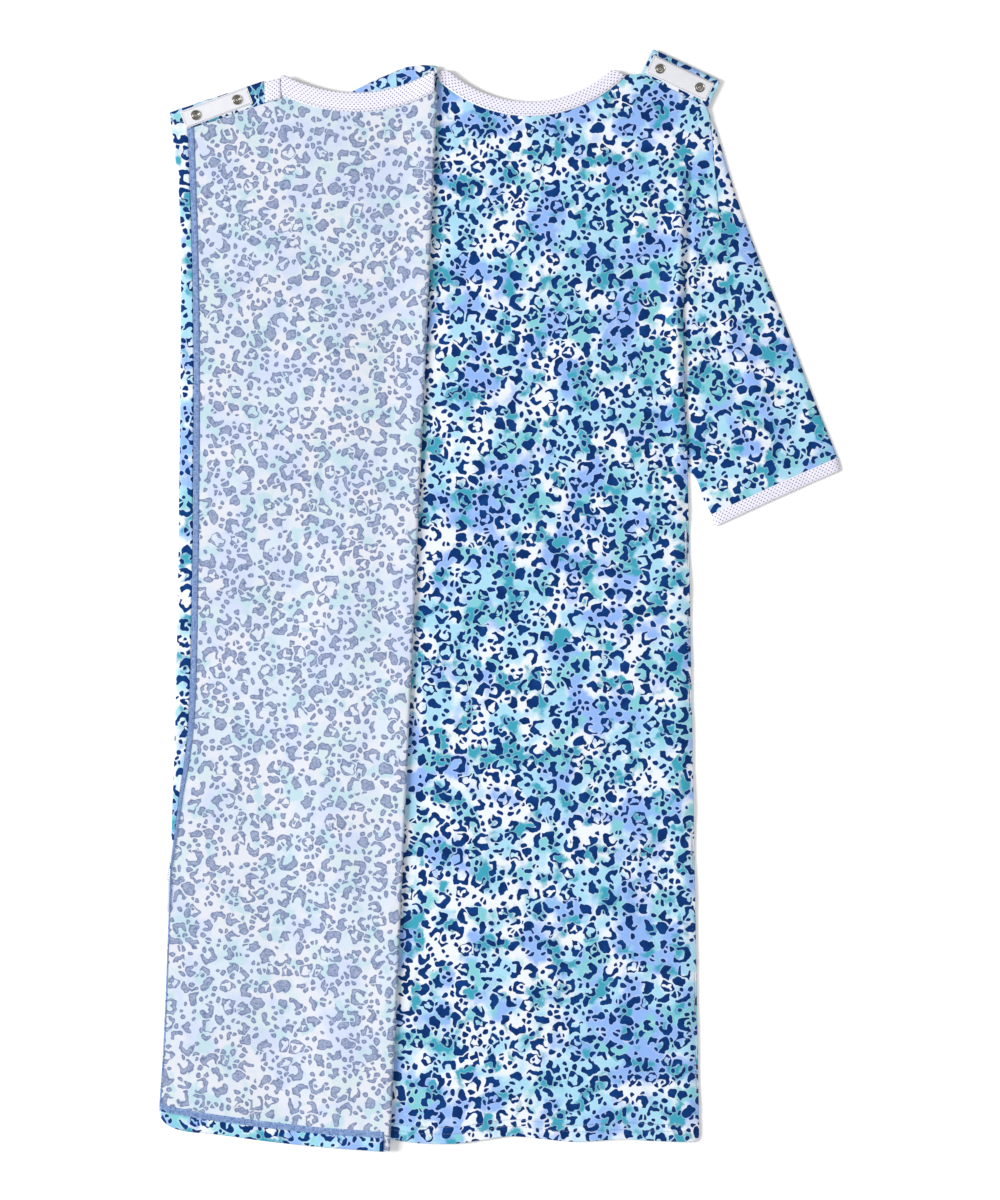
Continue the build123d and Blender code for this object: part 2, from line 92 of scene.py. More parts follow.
# ---- outline of the body ----
NECK_X = 31.0 * MM
NECK_POINT = mm((131.4, 550.3))[0]
BACK_NECK_DEPTH = 42.3 * MM
FRONT_NECK_DEPTH = 81.0 * MM
BINDING = 14.5 * MM
UNDERARM = mm((197.0, 137.0))[0]
HEM_CORNER_X = 209.0 * MM
BACK_HEM_Y = -567.0 * MM
FRONT_HEM_Y = -562.0 * MM
HEM_DEPTH = 20.0 * MM
HEM_ROWS = (10.5 * MM, 17.5 * MM)
NECK_THREAD_RADIUS = 0.17 * MM
SEWN_INSET = -0.8 * MM
STITCH_ROW_INSET = 1.6 * MM
UNDER_FREE_EDGE_X = -125.0 * MM
UNDER_HEM_WAVE = mm((-48, -570), (-22.6, -566.6), (9.3, -562.3), (34.8, -564), (62.5, -566.9),
                    (83.5, -567.9), (126.5, -565.3), (158.9, -566.9), (196, -568.3), (206.5, -566.5),
                    (209, -561))
CREASE = mm((197, 137), (195.2, 170), (193.3, 218), (192.3, 266), (191.8, 300), (192.6, 330), (195, 400),
            (199, 472), (208, 514))
ARMHOLE_LINE = mm((193, 318), (199, 338), (214, 360), (226, 381), (229.5, 397), (227.3, 428),
                  (224.9, 456), (223.4, 477.5), (220.5, 502), (216.5, 517.5))

# ---- outline of the over panel ----
FLAP_NECK_CENTRE = mm((-151, 692))[0]
FLAP_NECK_RADIUS = 180.0 * MM
FLAP_BINDING = 19.5 * MM
FLAP_NECK_END_X = -230.5 * MM
FLAP_SHOULDER = mm((-230.5, 530.5), (-232, 541.5), (-248, 543.5), (-346, 511))
FLAP_LEFT = mm((-346, 511), (-335.5, 411), (-334.5, 256), (-340, -95), (-351, -420), (-357.3, -528))
FLAP_CORNER = mm((-357.3, -528), (-354, -546), (-335, -556.5), (-296, -561))
FLAP_BOTTOM = mm((-296, -561), (-240, -568.5), (-187, -573.5), (-122, -577.2))
LEFT_SHOULDER = mm((-80, 560.6), (-98, 558.4), (-126, 547.0), (-154, 533.5))
EDGE_HEM_INNER = mm((-330, 503), (-326.5, 481), (-321, 256), (-325.5, -95), (-337, -210), (-348, -295))
EDGE_BAND = 6.5 * MM
EDGE_BAND_END = 1.3 * MM
BOTTOM_HEM_DEPTHS = mm((-357.3, 2), (-354, 12), (-335, 16.5), (-296, 14))
BOTTOM_BAND = 7.0 * MM
FACING_DEPTH = 22.5 * MM
BASE_HEM = mm((-147, -567), (-132, -570), (-119, -576))

# ---- sleeves, for the right side ----
SHOULDER_LINE = mm((216.5, 517.5), (146.5, 551.5), (131.4, 550.3))
SLEEVE_TOP = mm((216.5, 517.5), (220.5, 508.5), (225.2, 496.6))
SLEEVE_OUTER = mm((225.2, 496.6), (231.5, 476.5), (250, 416.3), (274.6, 350.2), (302.9, 279.1), (328.9, 211.6),
                  (354.3, 149))
CUFF = mm((354.3, 149), (289, 120.5), (222.8, 89.8))
CUFF_DROP = mm((3.4, -12.0))[0]
SLEEVE_UNDER = mm((222.8, 89.8), (214.7, 104), (209.2, 121), (203.5, 131.3), (197, 137))
SLEEVE_TUCK = 6.0 * MM
SLEEVE_THICK = 2.4 * MM

# ---- shoulder closures ----
TAB_CENTRE = mm((187.8, 544.6))[0]
TAB_ANGLE = math.radians(-25.3)
TAB_SIZE = (78.0 * MM, 36.6 * MM)
TAB_TAPE_CENTRE = mm((188.6, 547.2))[0]
TAPE_SIZE = (70.0 * MM, 21.5 * MM)
FLAP_TAPE_CENTRE = mm((-296.9, 515.6))[0]
FLAP_TAPE_ANGLE = math.radians(20.5)
FLAP_TAPE_SIZE = (75.0 * MM, 19.0 * MM)
SNAP_PITCH = 46.0 * MM
STITCH_INSET = 1.5 * MM
SOCKET_PROFILE = [(5.0, 0.0), (5.3, 0.15), (5.4, 0.6), (5.35, 1.15), (5.1, 1.42), (4.75, 1.5), (4.45, 1.42),
                  (4.25, 1.2), (4.1, 1.08), (3.85, 1.08), (3.7, 1.2), (3.5, 1.42), (3.2, 1.5), (2.9, 1.44),
                  (2.65, 1.2), (2.55, 0.9), (2.5, 0.45), (2.3, 0.32), (1.2, 0.3), (0.9, 0.45), (0.01, 0.5)]
STUD_PROFILE = [(5.0, 0.0), (5.3, 0.1), (5.4, 0.35), (5.3, 0.58), (5.05, 0.7), (4.75, 0.68), (4.5, 0.5),
                (4.3, 0.38), (3.9, 0.36), (3.6, 0.42), (3.3, 0.62), (3.0, 0.7), (2.6, 0.7), (1.75, 0.7),
                (1.55, 0.8), (1.5, 1.1), (1.6, 1.25), (1.8, 1.4), (1.82, 1.55), (1.65, 1.72), (1.3, 1.8),
                (0.8, 1.76), (0.3, 1.7), (0.01, 1.7)]


# ---- lines ----
def along(points):
    """Distance of each point from the first one, along the line."""
    return np.concatenate([[0], np.cumsum(np.linalg.norm(np.diff(points, axis=0), axis=1))])


def resample(points, count):
    """The same line as count evenly spaced points."""
    run = along(points)
    wanted = np.linspace(0, run[-1], count)
    return np.stack([np.interp(wanted, run, points[:, i]) for i in range(points.shape[1])], axis=1)


def straight(*points, step=EDGE_STEP):
    """Straight runs through the points, cut to even steps."""
    points = np.array(points, float)
    parts = [a + (b - a) * np.linspace(0, 1, max(2, math.ceil(np.linalg.norm(b - a) / step) + 1))[:-1, None]
             for a, b in zip(points[:-1], points[1:])]
    return np.concatenate([*parts, points[-1:]])


def curve(points, step=EDGE_STEP):
    """Smooth line through the points, cut to even steps."""
    points = np.array(points, float)
    ends = np.concatenate([[2 * points[0] - points[1]], points, [2 * points[-1] - points[-2]]])
    line = []
    for p0, p1, p2, p3 in zip(ends[:-3], ends[1:-2], ends[2:-1], ends[3:]):
        t = np.linspace(0, 1, 24, endpoint=False)[:, None]
        line.append(0.5 * (2 * p1 + (p2 - p0) * t + (2 * p0 - 5 * p1 + 4 * p2 - p3) * t**2
                           + (3 * p1 - p0 - 3 * p2 + p3) * t**3))
    line = np.concatenate([*line, points[-1:]])
    return resample(line, max(3, math.ceil(along(line)[-1] / step) + 1))


def arc(centre, radius, start_x, end_x, step=EDGE_STEP):
    """Lower arc of a circle from one x to another."""
    first, last = (math.asin((x - centre[0]) / radius) for x in (start_x, end_x))
    angles = np.linspace(first, last, max(3, math.ceil(abs(last - first) * radius / step) + 1))
    return np.stack([centre[0] + radius * np.sin(angles), centre[1] - radius * np.cos(angles)], axis=1)


def joined(*lines):
    """One closed outline from lines laid end to end."""
    points = np.concatenate(lines)
    keep = np.linalg.norm(points - np.roll(points, 1, axis=0), axis=1) > 0.3 * MM
    return points[keep]


def mirrored(points):
    """Points on the other side of the neck's centre line."""
    return np.asarray(points) * [-1, 1] + [2 * NECK_X, 0]


def offset(line, distance):
    """The line moved to its left by a distance."""
    tangent = np.gradient(line, axis=0)
    tangent /= np.linalg.norm(tangent, axis=1)[:, None]
    return line + np.stack([-tangent[:, 1], tangent[:, 0]], axis=1) * distance


def turned(centre, angle, points):
    """Points given about a centre, turned by an angle."""
    c, s = math.cos(angle), math.sin(angle)
    return np.asarray(points, float) @ np.array([[c, s], [-s, c]]) + centre


def neck_arc(depth, inset=0.0):
    """Neckline from the right neck point to the left one, or its binding's folded edge."""
    half = NECK_POINT[0] - NECK_X
    radius = (half**2 + depth**2) / (2 * depth)
    centre = (NECK_X, NECK_POINT[1] - depth + radius)
    reach = half * (radius - inset) / radius
    return arc(centre, radius - inset, NECK_X + reach, NECK_X - reach)


def inside(points, outline):
    """Which of the points are inside the closed outline."""
    result = np.zeros(len(points), bool)
    for a, b in zip(outline, np.roll(outline, -1, axis=0)):
        spans = (a[1] > points[:, 1]) != (b[1] > points[:, 1])
        if spans.any():
            crossing = a[0] + (points[:, 1] - a[1]) * (b[0] - a[0]) / (b[1] - a[1] + 1e-15)
            result ^= spans & (points[:, 0] < crossing)
    return result


def distance(points, line):
    """Distance from each point to an open line."""
    best = np.full(len(points), 1e9)
    for a, b in zip(line[:-1], line[1:]):
        ab = b - a
        t = np.clip((points - a) @ ab / max(ab @ ab, 1e-18), 0, 1)
        best = np.minimum(best, np.linalg.norm(points - a - t[:, None] * ab, axis=1))
    return best


def smooth(x):
    x = np.clip(x, 0, 1)
    return x * x * (3 - 2 * x)


# ---- joints, and the lines that they fold on ----
def hinge(name):
    """A hinge's point and direction in plan."""
    joint = next(j for j in frame["joints"] if j["name"] == name)
    return np.array(joint["pos_m"][:2]), np.array(joint["axis"][:2])


FOLD_TOP, FOLD_UP = hinge("flap_fold")
FOLD_LEFT = np.array([-FOLD_UP[1], FOLD_UP[0]])
SLEEVE_HINGE, SLEEVE_DOWN = hinge("sleeve_fold")
SLEEVE_RIGHT = np.array([-SLEEVE_DOWN[1], SLEEVE_DOWN[0]])


def side_x(y):
    """X of the right side of the body, from the underarm to the hem."""
    return np.interp(y, [BACK_HEM_Y, UNDERARM[1]], [HEM_CORNER_X, UNDERARM[0]])


def body_edge(y):
    """Right edge of the body: its side, then the crease beside the sleeve."""
    return np.where(y < UNDERARM[1], side_x(y), np.interp(y, CREASE[:, 1], CREASE[:, 0]))


# ---- how the cloth lies ----
def random_waves(count, shortest, longest):
    """Length, direction and phase of each of some waves."""
    return [(random.uniform(shortest, longest) * MM, random.uniform(0, math.pi), random.uniform(0, 6.28))
            for _ in range(count)]


WAVES = random_waves(7, 70, 210)
WRINKLES = random_waves(9, 16, 42)


def rise(at, start, width):
    """From 0 at start to 1 a width further on, both in millimetres."""
    return smooth((at - start * MM) / (width * MM))


def fall(at, end, width):
    """From 1 to 0 at end, over a width."""
    return smooth((end * MM - at) / (width * MM))


def hump(at, middle, width):
    """Bell curve, 1 at its middle, in millimetres."""
    return np.exp(-(((at - middle * MM) / (width * MM)) ** 2))


def sines(x, y, waves):
    return sum(np.sin(2 * math.pi * (x * math.cos(a) + y * math.sin(a)) / length + phase)
               for length, a, phase in waves) / len(waves)


def ripple(x, y):
    """Low waves and soft wrinkles that all the layers share, calm near the shoulders."""
    calm = 0.25 + 0.75 * fall(y, 470, 60)
    return calm * (1.5 * MM * sines(x, y, WAVES) + 0.35 * MM * sines(x, y, WRINKLES))


def hem_pucker(x, y):
    """Doubled cloth of the under panel's turned hem, puckered along its stitches."""
    puckers = np.sin(x / (1.15 * MM) + 3 * np.sin(x / (31 * MM)))
    return (0.5 * MM * fall(y - BACK_HEM_Y - HEM_DEPTH, 0, 2)
            + 0.16 * MM * hump(y - BACK_HEM_Y, 14, 9) * puckers)


def edge_fall(x, y, swell=3.4 * MM):
    """How far a back panel comes down at the body's right edge, beside a swell of cloth."""
    gap = body_edge(y) - x
    side = 2.7 * MM * (1 - rise(gap, 0, 9))
    at_side = fall(y - UNDERARM[1], 6, 12)
    past = rise(y, 285, 30)
    fade = fall(y, 500, 130) * (0.35 + 0.65 * rise(y, 140, 60))
    width = np.where(gap > -2 * MM, 2.4, 7.0)
    valley = (0.6 + 3.0 * past) * MM * hump(gap, -2, width)
    lap = 1.25 * MM * fall(gap, 0, 22) * past
    crest = swell * hump(gap, 7, 6)
    return at_side * side + (1 - at_side) * (lap + fade * (valley - crest))


def under_height(x, y):
    drape = hump(x + 0.25 * (470 * MM - y), 168, 9)
    drape = 1.2 * MM * drape * rise(y, 340, 50) * fall(y, 500, 40)
    return UNDER_Z + ripple(x, y) + drape - edge_fall(x, y) + hem_pucker(x, y)


def base_height(x, y):
    return BASE_Z + ripple(x, y) - 1.35 * edge_fall(2 * NECK_X - x, y, swell=0)


def flap_height(x, y):
    """The flap stands puffed at the fold and droops past the body's left side."""
    u = (x - FOLD_TOP[0]) * FOLD_LEFT[0] + (y - FOLD_TOP[1]) * FOLD_LEFT[1]
    puff = (BASE_Z + 2 * FOLD_RADIUS - FLAP_Z) * hump(u, 0, 22)
    on_sleeve = rise(y, 60, 50)
    depth = (5.0 - 4.2 * on_sleeve) * MM * fall(y, 478, 70)
    droop = depth * fall(x, -148, 95)
    lift = 0.8 * MM * fall(x, -205, 60) * np.sin(y / (54 * MM) + 1.3)
    return FLAP_Z + puff + ripple(x, y) - droop + lift * fall(y, 440, 60)


def level(z):
    """A flat lie at one height."""
    return lambda x, y: z + 0 * x


def above(height, extra):
    """The same lie of the cloth, a little higher."""
    return lambda x, y: height(x, y) + extra


# ---- meshes ----
def new_piece(name, verts, faces, uvs, materials, smooth_faces=True):
    """Object from numbered corners, with a flat-pattern UV in metres."""
    mesh = bpy.data.meshes.new(name)
    mesh.from_pydata(np.asarray(verts, float).tolist(), [], [tuple(map(int, f)) for f in faces])
    layer = mesh.uv_layers.new(name="cloth")
    corners = np.zeros(len(mesh.loops), int)
    mesh.loops.foreach_get("vertex_index", corners)
    layer.data.foreach_set("uv", np.asarray(uvs, float)[corners].astype(np.float32).ravel())
    mesh.polygons.foreach_set("use_smooth", [smooth_faces] * len(mesh.polygons))
    for material in materials:
        mesh.materials.append(material)
    piece = bpy.data.objects.new(name, mesh)
    bpy.context.scene.collection.objects.link(piece)
    return piece


def thicken(piece, thickness=CLOTH, back=1):
    """Gives cloth its thickness, with its other side in the next material."""
    solid = piece.modifiers.new("thickness", "SOLIDIFY")
    solid.thickness = thickness
    solid.offset = 0.0
    solid.material_offset = back
    return piece


def filled(outline, columns=None, fine=()):
    """Points and triangles in a closed outline: an even grid, closer at the rim and along fine lines."""
    low, high = outline.min(0), outline.max(0)
    columns = np.arange(low[0], high[0], GRID) if columns is None else columns
    xs, ys = np.meshgrid(columns, np.arange(low[1], high[1], GRID))
    closed = np.concatenate([outline, outline[:1]])
    rims = [offset(closed, side * depth)[:-1] for depth in RIMS for side in (1, -1)]
    close_lines = [offset(line, step) for line in fine for step in FINE_STEPS]
    near = np.concatenate([*rims, *close_lines])
    near = near[inside(near, outline)]
    near = near[distance(near, closed) > 0.85 * RIMS[0]]
    grid = np.stack([xs.ravel(), ys.ravel()], axis=1)
    grid = grid[inside(grid, outline)]
    grid = grid[distance(grid, closed) > RIMS[-1] + 0.3 * GRID]
    for line in fine:
        grid = grid[distance(grid, line) > FINE_STEPS[-1] + 0.3 * GRID]
    points = np.concatenate([outline, near, grid]).tolist()
    found = delaunay_2d_cdt(points, [], [list(range(len(outline)))], 1, 1e-9, False)
    verts, faces = np.array([tuple(v) for v in found[0]]), np.array(found[2])
    faces = faces[inside(verts[faces].mean(axis=1), outline)]
    a, b, c = (verts[faces[:, i]] for i in range(3))
    back = (b - a)[:, 0] * (c - a)[:, 1] - (b - a)[:, 1] * (c - a)[:, 0] < 0
    faces[back] = faces[back][:, ::-1]
    used, faces = np.unique(faces, return_inverse=True)
    return verts[used], faces.reshape(-1, 3)


def plan_sheet(name, outline, height, materials, shift, fine=()):
    """Sheet of cloth over a flat outline, at a height that depends on the place."""
    plan, faces = filled(outline, fine=fine)
    verts = np.column_stack([plan, height(plan[:, 0], plan[:, 1])])
    return thicken(new_piece(name, verts, faces, plan + shift, materials))


def grid_faces(rows, cols, close=False):
    """Quads of a grid of rows and columns, closed round the columns if asked."""
    quads = []
    for r in range(rows - 1):
        for c in range(cols if close else cols - 1):
            d = (c + 1) % cols
            quads.append((r * cols + c, r * cols + d, (r + 1) * cols + d, (r + 1) * cols + c))
    return quads


def ribbon(name, one, other, height, materials, bulge, thickness, across=8, shift=(0, 0)):
    """Strip between two lines of equally many points, crowned by bulge and laid at a height."""
    share = np.linspace(0, 1, across + 1)
    plan = one[:, None, :] * (1 - share)[None, :, None] + other[:, None, :] * share[None, :, None]
    flat = plan.reshape(-1, 2)
    crown = np.tile(1 - np.abs(2 * share - 1) ** 4, len(one))
    verts = np.column_stack([flat, height(flat[:, 0], flat[:, 1]) + bulge * crown])
    width = np.linalg.norm(other - one, axis=1)
    uvs = np.stack([np.repeat(along(one), across + 1), (width[:, None] * share[None, :]).ravel()], axis=1)
    faces = grid_faces(len(one), across + 1)
    a, b, c = (flat[faces[0][i]] for i in range(3))
    if (b - a)[0] * (c - a)[1] - (b - a)[1] * (c - a)[0] < 0:
        faces = [f[::-1] for f in faces]
    return thicken(new_piece(name, verts, faces, uvs + shift, materials), thickness, 0)


def tubes(name, paths, radius, materials, sides=5):
    """Round threads along three-dimensional paths, as one piece."""
    verts, faces, uvs = [], [], []
    angles = np.arange(sides) * 2 * math.pi / sides
    for path in paths:
        tangent = np.gradient(path, axis=0)
        tangent /= np.linalg.norm(tangent, axis=1)[:, None]
        side = np.cross(tangent, [0, 0, 1.0])
        side /= np.linalg.norm(side, axis=1)[:, None] + 1e-12
        up = np.cross(side, tangent)
        ring = (path[:, None, :] + radius * (side[:, None, :] * np.cos(angles)[None, :, None]
                                             + up[:, None, :] * np.sin(angles)[None, :, None]))
        start = sum(len(v) for v in verts)
        verts.append(ring.reshape(-1, 3))
        run = along(path)
        uvs.append(np.stack([np.repeat(run, sides), np.tile(angles * radius, len(path))], axis=1))
        quads = np.array(grid_faces(len(path), sides, close=True)) + start
        faces += quads[:, ::-1].tolist()
        faces.append(tuple(range(start, start + sides)))
        faces.append(tuple(range(start + sides * len(path) - 1, start + sides * (len(path) - 1) - 1, -1)))
    return new_piece(name, np.concatenate(verts), faces, np.concatenate(uvs), materials)


def stitch_paths(line, height, length=2.4 * MM, gap=0.9 * MM):
    """A row of separate stitches that dip into the cloth at their ends."""
    run = along(line)
    paths = []
    for start in np.arange(0.6 * MM, run[-1] - length, length + gap):
        where = start + length * np.linspace(0, 1, 5)
        x, y = (np.interp(where, run, line[:, i]) for i in range(2))
        dip = 0.35 * MM * np.array([-1, 0.6, 1, 0.6, -1])
        paths.append(np.column_stack([x, y, height(x, y) + dip]))
    return paths


def looper_path(line, height, width, pitch=2.3 * MM, lean=0.3):
    """A thread that runs from side to side of a band in rounded loops."""
    run = along(line)
    steps = 10
    phase = np.arange(0, int(run[-1] / pitch) * steps) / steps
    where = (phase + lean / 2 * np.sin(4 * math.pi * phase)) * pitch
    x, y = (np.interp(where, run, line[:, i]) for i in range(2))
    tangent = np.stack([np.interp(where, run, t) for t in np.gradient(line, run, axis=0).T], axis=1)
    normal = np.stack([-tangent[:, 1], tangent[:, 0]], axis=1)
    swing = width / 2 * np.tanh(2.2 * np.sin(2 * math.pi * phase)) / math.tanh(2.2)
    x, y = x + normal[:, 0] * swing, y + normal[:, 1] * swing
    lift = 0.15 * MM * np.cos(2 * math.pi * phase)
    return np.column_stack([x, y, height(x, y) + lift])


def lathed(name, profile, spots, materials, segments=40):
    """Round pieces from one profile of (radius, height), one at each spot."""
    profile = np.array(profile, float) * MM
    angles = np.arange(segments) * 2 * math.pi / segments
    verts, faces = [], []
    for number, spot in enumerate(spots):
        ring = np.stack([np.outer(profile[:, 0], np.cos(angles)), np.outer(profile[:, 0], np.sin(angles)),
                         np.repeat(profile[:, 1:], segments, axis=1)], axis=2)
        verts.append(ring.reshape(-1, 3) + spot)
        quads = np.array(grid_faces(len(profile), segments, close=True)) + number * len(profile) * segments
        faces += quads.tolist()
    verts = np.concatenate(verts)
    radii = np.tile(np.repeat(profile, segments, axis=0), (len(spots), 1))
    return new_piece(name, verts, faces, radii, materials)


def blend_on_pattern(piece, pattern, start, end, bodies):
    mesh = piece.data
    shaped = np.zeros(len(mesh.vertices) * 3, np.float32)
    mesh.vertices.foreach_get("co", shaped)
    mesh.vertices.foreach_set("co", np.asarray(pattern, np.float32).ravel())
    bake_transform(piece, *bodies, (start, 0, 0), (end, 0, 0))
    mesh.vertices.foreach_set("co", shaped)
    mesh.update()
    return piece


def coordinates(piece):
    points = np.zeros(len(piece.data.vertices) * 3, np.float32)
    piece.data.vertices.foreach_get("co", points)
    return points.reshape(-1, 3)


def bend_at_armhole(piece, side_stays=False):
    """Cloth that crosses the sleeve's hinge turns from the body to the sleeve, above the underarm."""
    points = coordinates(piece)
    across = (points[:, :2] - SLEEVE_HINGE) @ SLEEVE_RIGHT
    at_underarm = fall(points[:, 1] - UNDERARM[1], 30, 30)
    start = -16 * MM * (1 - at_underarm)
    share = (across - start) / (30 * MM - start)
    if side_stays:
        share = np.where(points[:, 1] < UNDERARM[1], np.minimum(share, 0), share)
    pattern = np.column_stack([share, points[:, 1], np.zeros(len(points))])
    return blend_on_pattern(piece, pattern, 0.0, 1.0, ("root", "sleeve"))


def place(piece, body, slot, *nodes):
    """Rides a piece on its body, unless it already blends between two, and hides the CAD nodes that it stands
    for; its slot is not used.
    """
    if "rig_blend" not in piece:
        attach(piece, body)
    if nodes:
        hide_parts(*nodes)
    return piece


# ---- materials ----
WHITE_LEVEL = 0.86
TURN = 2 * math.pi
BIG_CELL = 19.5
SMALL_CELL = 8.6
SHAPE_GAP = 1.5
DOT_ROW, DOT_COLUMN = 2.3, 4.3
# Radii in millimetres where shade is painted into the snap metal's grooves.
SHADED_GROOVE_RADII = (4.0, 2.1)


def paint(red, green, blue):
    """Colour as it looks under the studio light, from its 0 to 255 screen values."""
    levels = [c / 255 for c in (red, green, blue)]
    linear = [c / 12.92 if c <= 0.04045 else ((c + 0.055) / 1.055) ** 2.4 for c in levels]
    return (*(c * WHITE_LEVEL for c in linear), 1.0)


def put(socket, value):
    """Links what a node gives to a socket, or sets a plain value on it."""
    if isinstance(value, Field):
        socket.id_data.links.new(value.socket, socket)
    else:
        socket.default_value = value


def add(tree, kind, inputs=(), **settings):
    """New node with its settings, and its inputs by name or number."""
    node = tree.nodes.new(kind)
    for key, value in settings.items():
        setattr(node, key, value)
    for key, value in dict(inputs).items():
        put(node.inputs[key], value)
    return node


class Field:
    """A number or a vector that nodes work out. Arithmetic on it adds the nodes that it takes."""

    def __init__(self, socket):
        self.socket = socket
        self.tree = socket.id_data
        self.is_number = socket.type == "VALUE"

    def work(self, operation, *others):
        kind = "ShaderNodeMath" if self.is_number else "ShaderNodeVectorMath"
        node = add(self.tree, kind, enumerate((self, *others)), operation=operation)
        return Field(node.outputs["Value" if self.is_number or operation == "LENGTH" else "Vector"])

    __add__ = partialmethod(work, "ADD")
    __sub__ = partialmethod(work, "SUBTRACT")
    __truediv__ = partialmethod(work, "DIVIDE")
    __gt__ = partialmethod(work, "GREATER_THAN")
    __abs__ = partialmethod(work, "ABSOLUTE")
    sine = partialmethod(work, "SINE")
    most = partialmethod(work, "MAXIMUM")
    least = partialmethod(work, "MINIMUM")

    def __rsub__(self, other):
        return self * -1.0 + other

    def __mul__(self, other):
        if self.is_number or isinstance(other, tuple):
            return self.work("MULTIPLY", other)
        scaled = add(self.tree, "ShaderNodeVectorMath", {"Vector": self, "Scale": other}, operation="SCALE")
        return Field(scaled.outputs["Vector"])

    def parts(self):
        """X, Y and Z of a vector."""
        return [Field(part) for part in add(self.tree, "ShaderNodeSeparateXYZ", {0: self}).outputs]

    def ramp(self, low, high):
        """0 at low, 1 at high, smooth in between."""
        node = add(self.tree, "ShaderNodeMapRange", {"Value": self, "From Min": low, "From Max": high},
                   interpolation_type="SMOOTHSTEP")
        return Field(node.outputs["Result"])


def pick(chance, limit, low, high):
    """High where chance is above limit, else low."""
    return low + (chance > limit) * (high - low)


def mixed(factor, a, b):
    """Colour from a to b."""
    node = add(factor.tree, "ShaderNodeMix", data_type="RGBA")
    for name, value in (("Factor_Float", factor), ("A_Color", a), ("B_Color", b)):
        put(next(s for s in node.inputs if s.identifier == name), value)
    return Field(next(s for s in node.outputs if s.identifier == "Result_Color"))


def noise(where, size, detail=2.0, rough=0.5, seed=0.0, output="Fac"):
    """Noise from 0 to 1 with features of about that size."""
    settings = {"Vector": where, "Scale": 1 / size, "Detail": detail, "Roughness": rough, "W": seed}
    return Field(add(where.tree, "ShaderNodeTexNoise", settings, noise_dimensions="4D").outputs[output])


def shaken(where, size, reach, **settings):
    """The place, moved either way by up to half of reach."""
    return where + (noise(where, size, output="Color", **settings) - (0.5, 0.5, 0.5)) * reach


def cells(where, size, spread, feature="F1"):
    settings = {"Vector": where, "Scale": 1 / size, "Randomness": spread}
    return add(where.tree, "ShaderNodeTexVoronoi", settings, feature=feature, voronoi_dimensions="2D")


def to_cell_edge(where, size, spread):
    return Field(cells(where, size, spread, "DISTANCE_TO_EDGE").outputs["Distance"]) * size


def turned_cell(where, cell):
    """Place inside a cell, turned by the cell's own random angle, and two more random numbers."""
    chances = add(where.tree, "ShaderNodeSeparateColor", {"Color": Field(cell.outputs["Color"])})
    angle, kind, size = (Field(chance) for chance in chances.outputs)
    here = where - Field(cell.outputs["Position"])
    spun = add(where.tree, "ShaderNodeVectorRotate", {"Vector": here, "Angle": angle * TURN},
               rotation_type="Z_AXIS")
    x, y, _ = Field(spun.outputs[0]).parts()
    return x, y, kind, size


def from_origin(x, y):
    return Field(add(x.tree, "ShaderNodeCombineXYZ", {"X": x, "Y": y}).outputs[0]).work("LENGTH")


def oval(x, y, stretch_x, stretch_y, radius):
    """Signed distance, in millimetres, to about an oval."""
    return from_origin(x * stretch_x, y * stretch_y) - radius


def round_arc(x, y, radius, half_angle, half_width):
    """Signed distance to a stroke along an arc, with round ends, symmetric about the y axis."""
    side = abs(x)
    end_x, end_y = half_angle.sine(), half_angle.work("COSINE")
    at_end = from_origin(side - end_x * radius, y - end_y * radius)
    at_arc = abs(from_origin(x, y) - radius)
    beyond = end_y * side > end_x * y
    return at_arc + beyond * (at_end - at_arc) - half_width


def new_group(name):
    """Node group that gives a distance at a place."""
    group = bpy.data.node_groups.new(name, "ShaderNodeTree")
    group.interface.new_socket("Vector", in_out="INPUT", socket_type="NodeSocketVector")
    group.interface.new_socket("Distance", in_out="OUTPUT", socket_type="NodeSocketFloat")
    return group, Field(add(group, "NodeGroupInput").outputs[0]), add(group, "NodeGroupOutput").inputs[0]


def from_group(group, where):
    return Field(add(where.tree, "ShaderNodeGroup", {0: where}, node_tree=group).outputs[0])


def big_shapes():
    """Hooks, broken rings, blobs and bars: distance in millimetres to the nearest edge."""
    group, where, out = new_group("big_shapes")
    moved = shaken(where, 9.0, 13.0, detail=1.0, seed=3.0)
    x, y, kind, size = turned_cell(moved, cells(moved, BIG_CELL, 0.8))
    grow = size * 0.35 + 0.85
    hook_width = (y * 0.2 + 1.9).least(3.4).most(1.45)
    hook = round_arc(x, y, grow * 5.4, size * 0.75 + 1.45, hook_width)
    beads = (x.work("ARCTAN2", y) * 3.0 + size * 9.0).sine()
    ring = abs(oval(x, y, 0.95, 1.12, grow * 5.2)) - (beads * 1.2 + 1.55)
    blob = oval(x, y, 0.82, 1.15, grow * 5.1)
    bar = round_arc(x, y + 5.5, 6.5, size * 0.55 + 0.5, size + 1.9)
    shape = pick(kind, 0.80, pick(kind, 0.62, pick(kind, 0.42, hook, ring), blob), bar)
    put(out, (shape - 0.2).most(0.85 - to_cell_edge(moved, BIG_CELL, 0.8)))
    return group


def leopard(big):
    """All the spots: the big shapes, with dots in the room that they leave."""
    group, where, out = new_group("leopard")
    here = from_group(big, where)
    moved = shaken(where, 6.5, 4.5, detail=0.5, seed=9.0)
    cell = cells(moved, SMALL_CELL, 0.9)
    x, y, kind, size = turned_cell(moved, cell)
    radius = size * 1.3 + 1.9
    dot = oval(x, y, 1.0 - kind * 0.35, 1.1, radius)
    dot = dot.most(0.9 - to_cell_edge(moved, SMALL_CELL, 0.9))
    crowded = radius + 0.2 > from_group(big, Field(cell.outputs["Position"]))
    put(out, here.least((dot + crowded * 100.0).most(SHAPE_GAP - here)))
    return group


SPOTS = leopard(big_shapes())


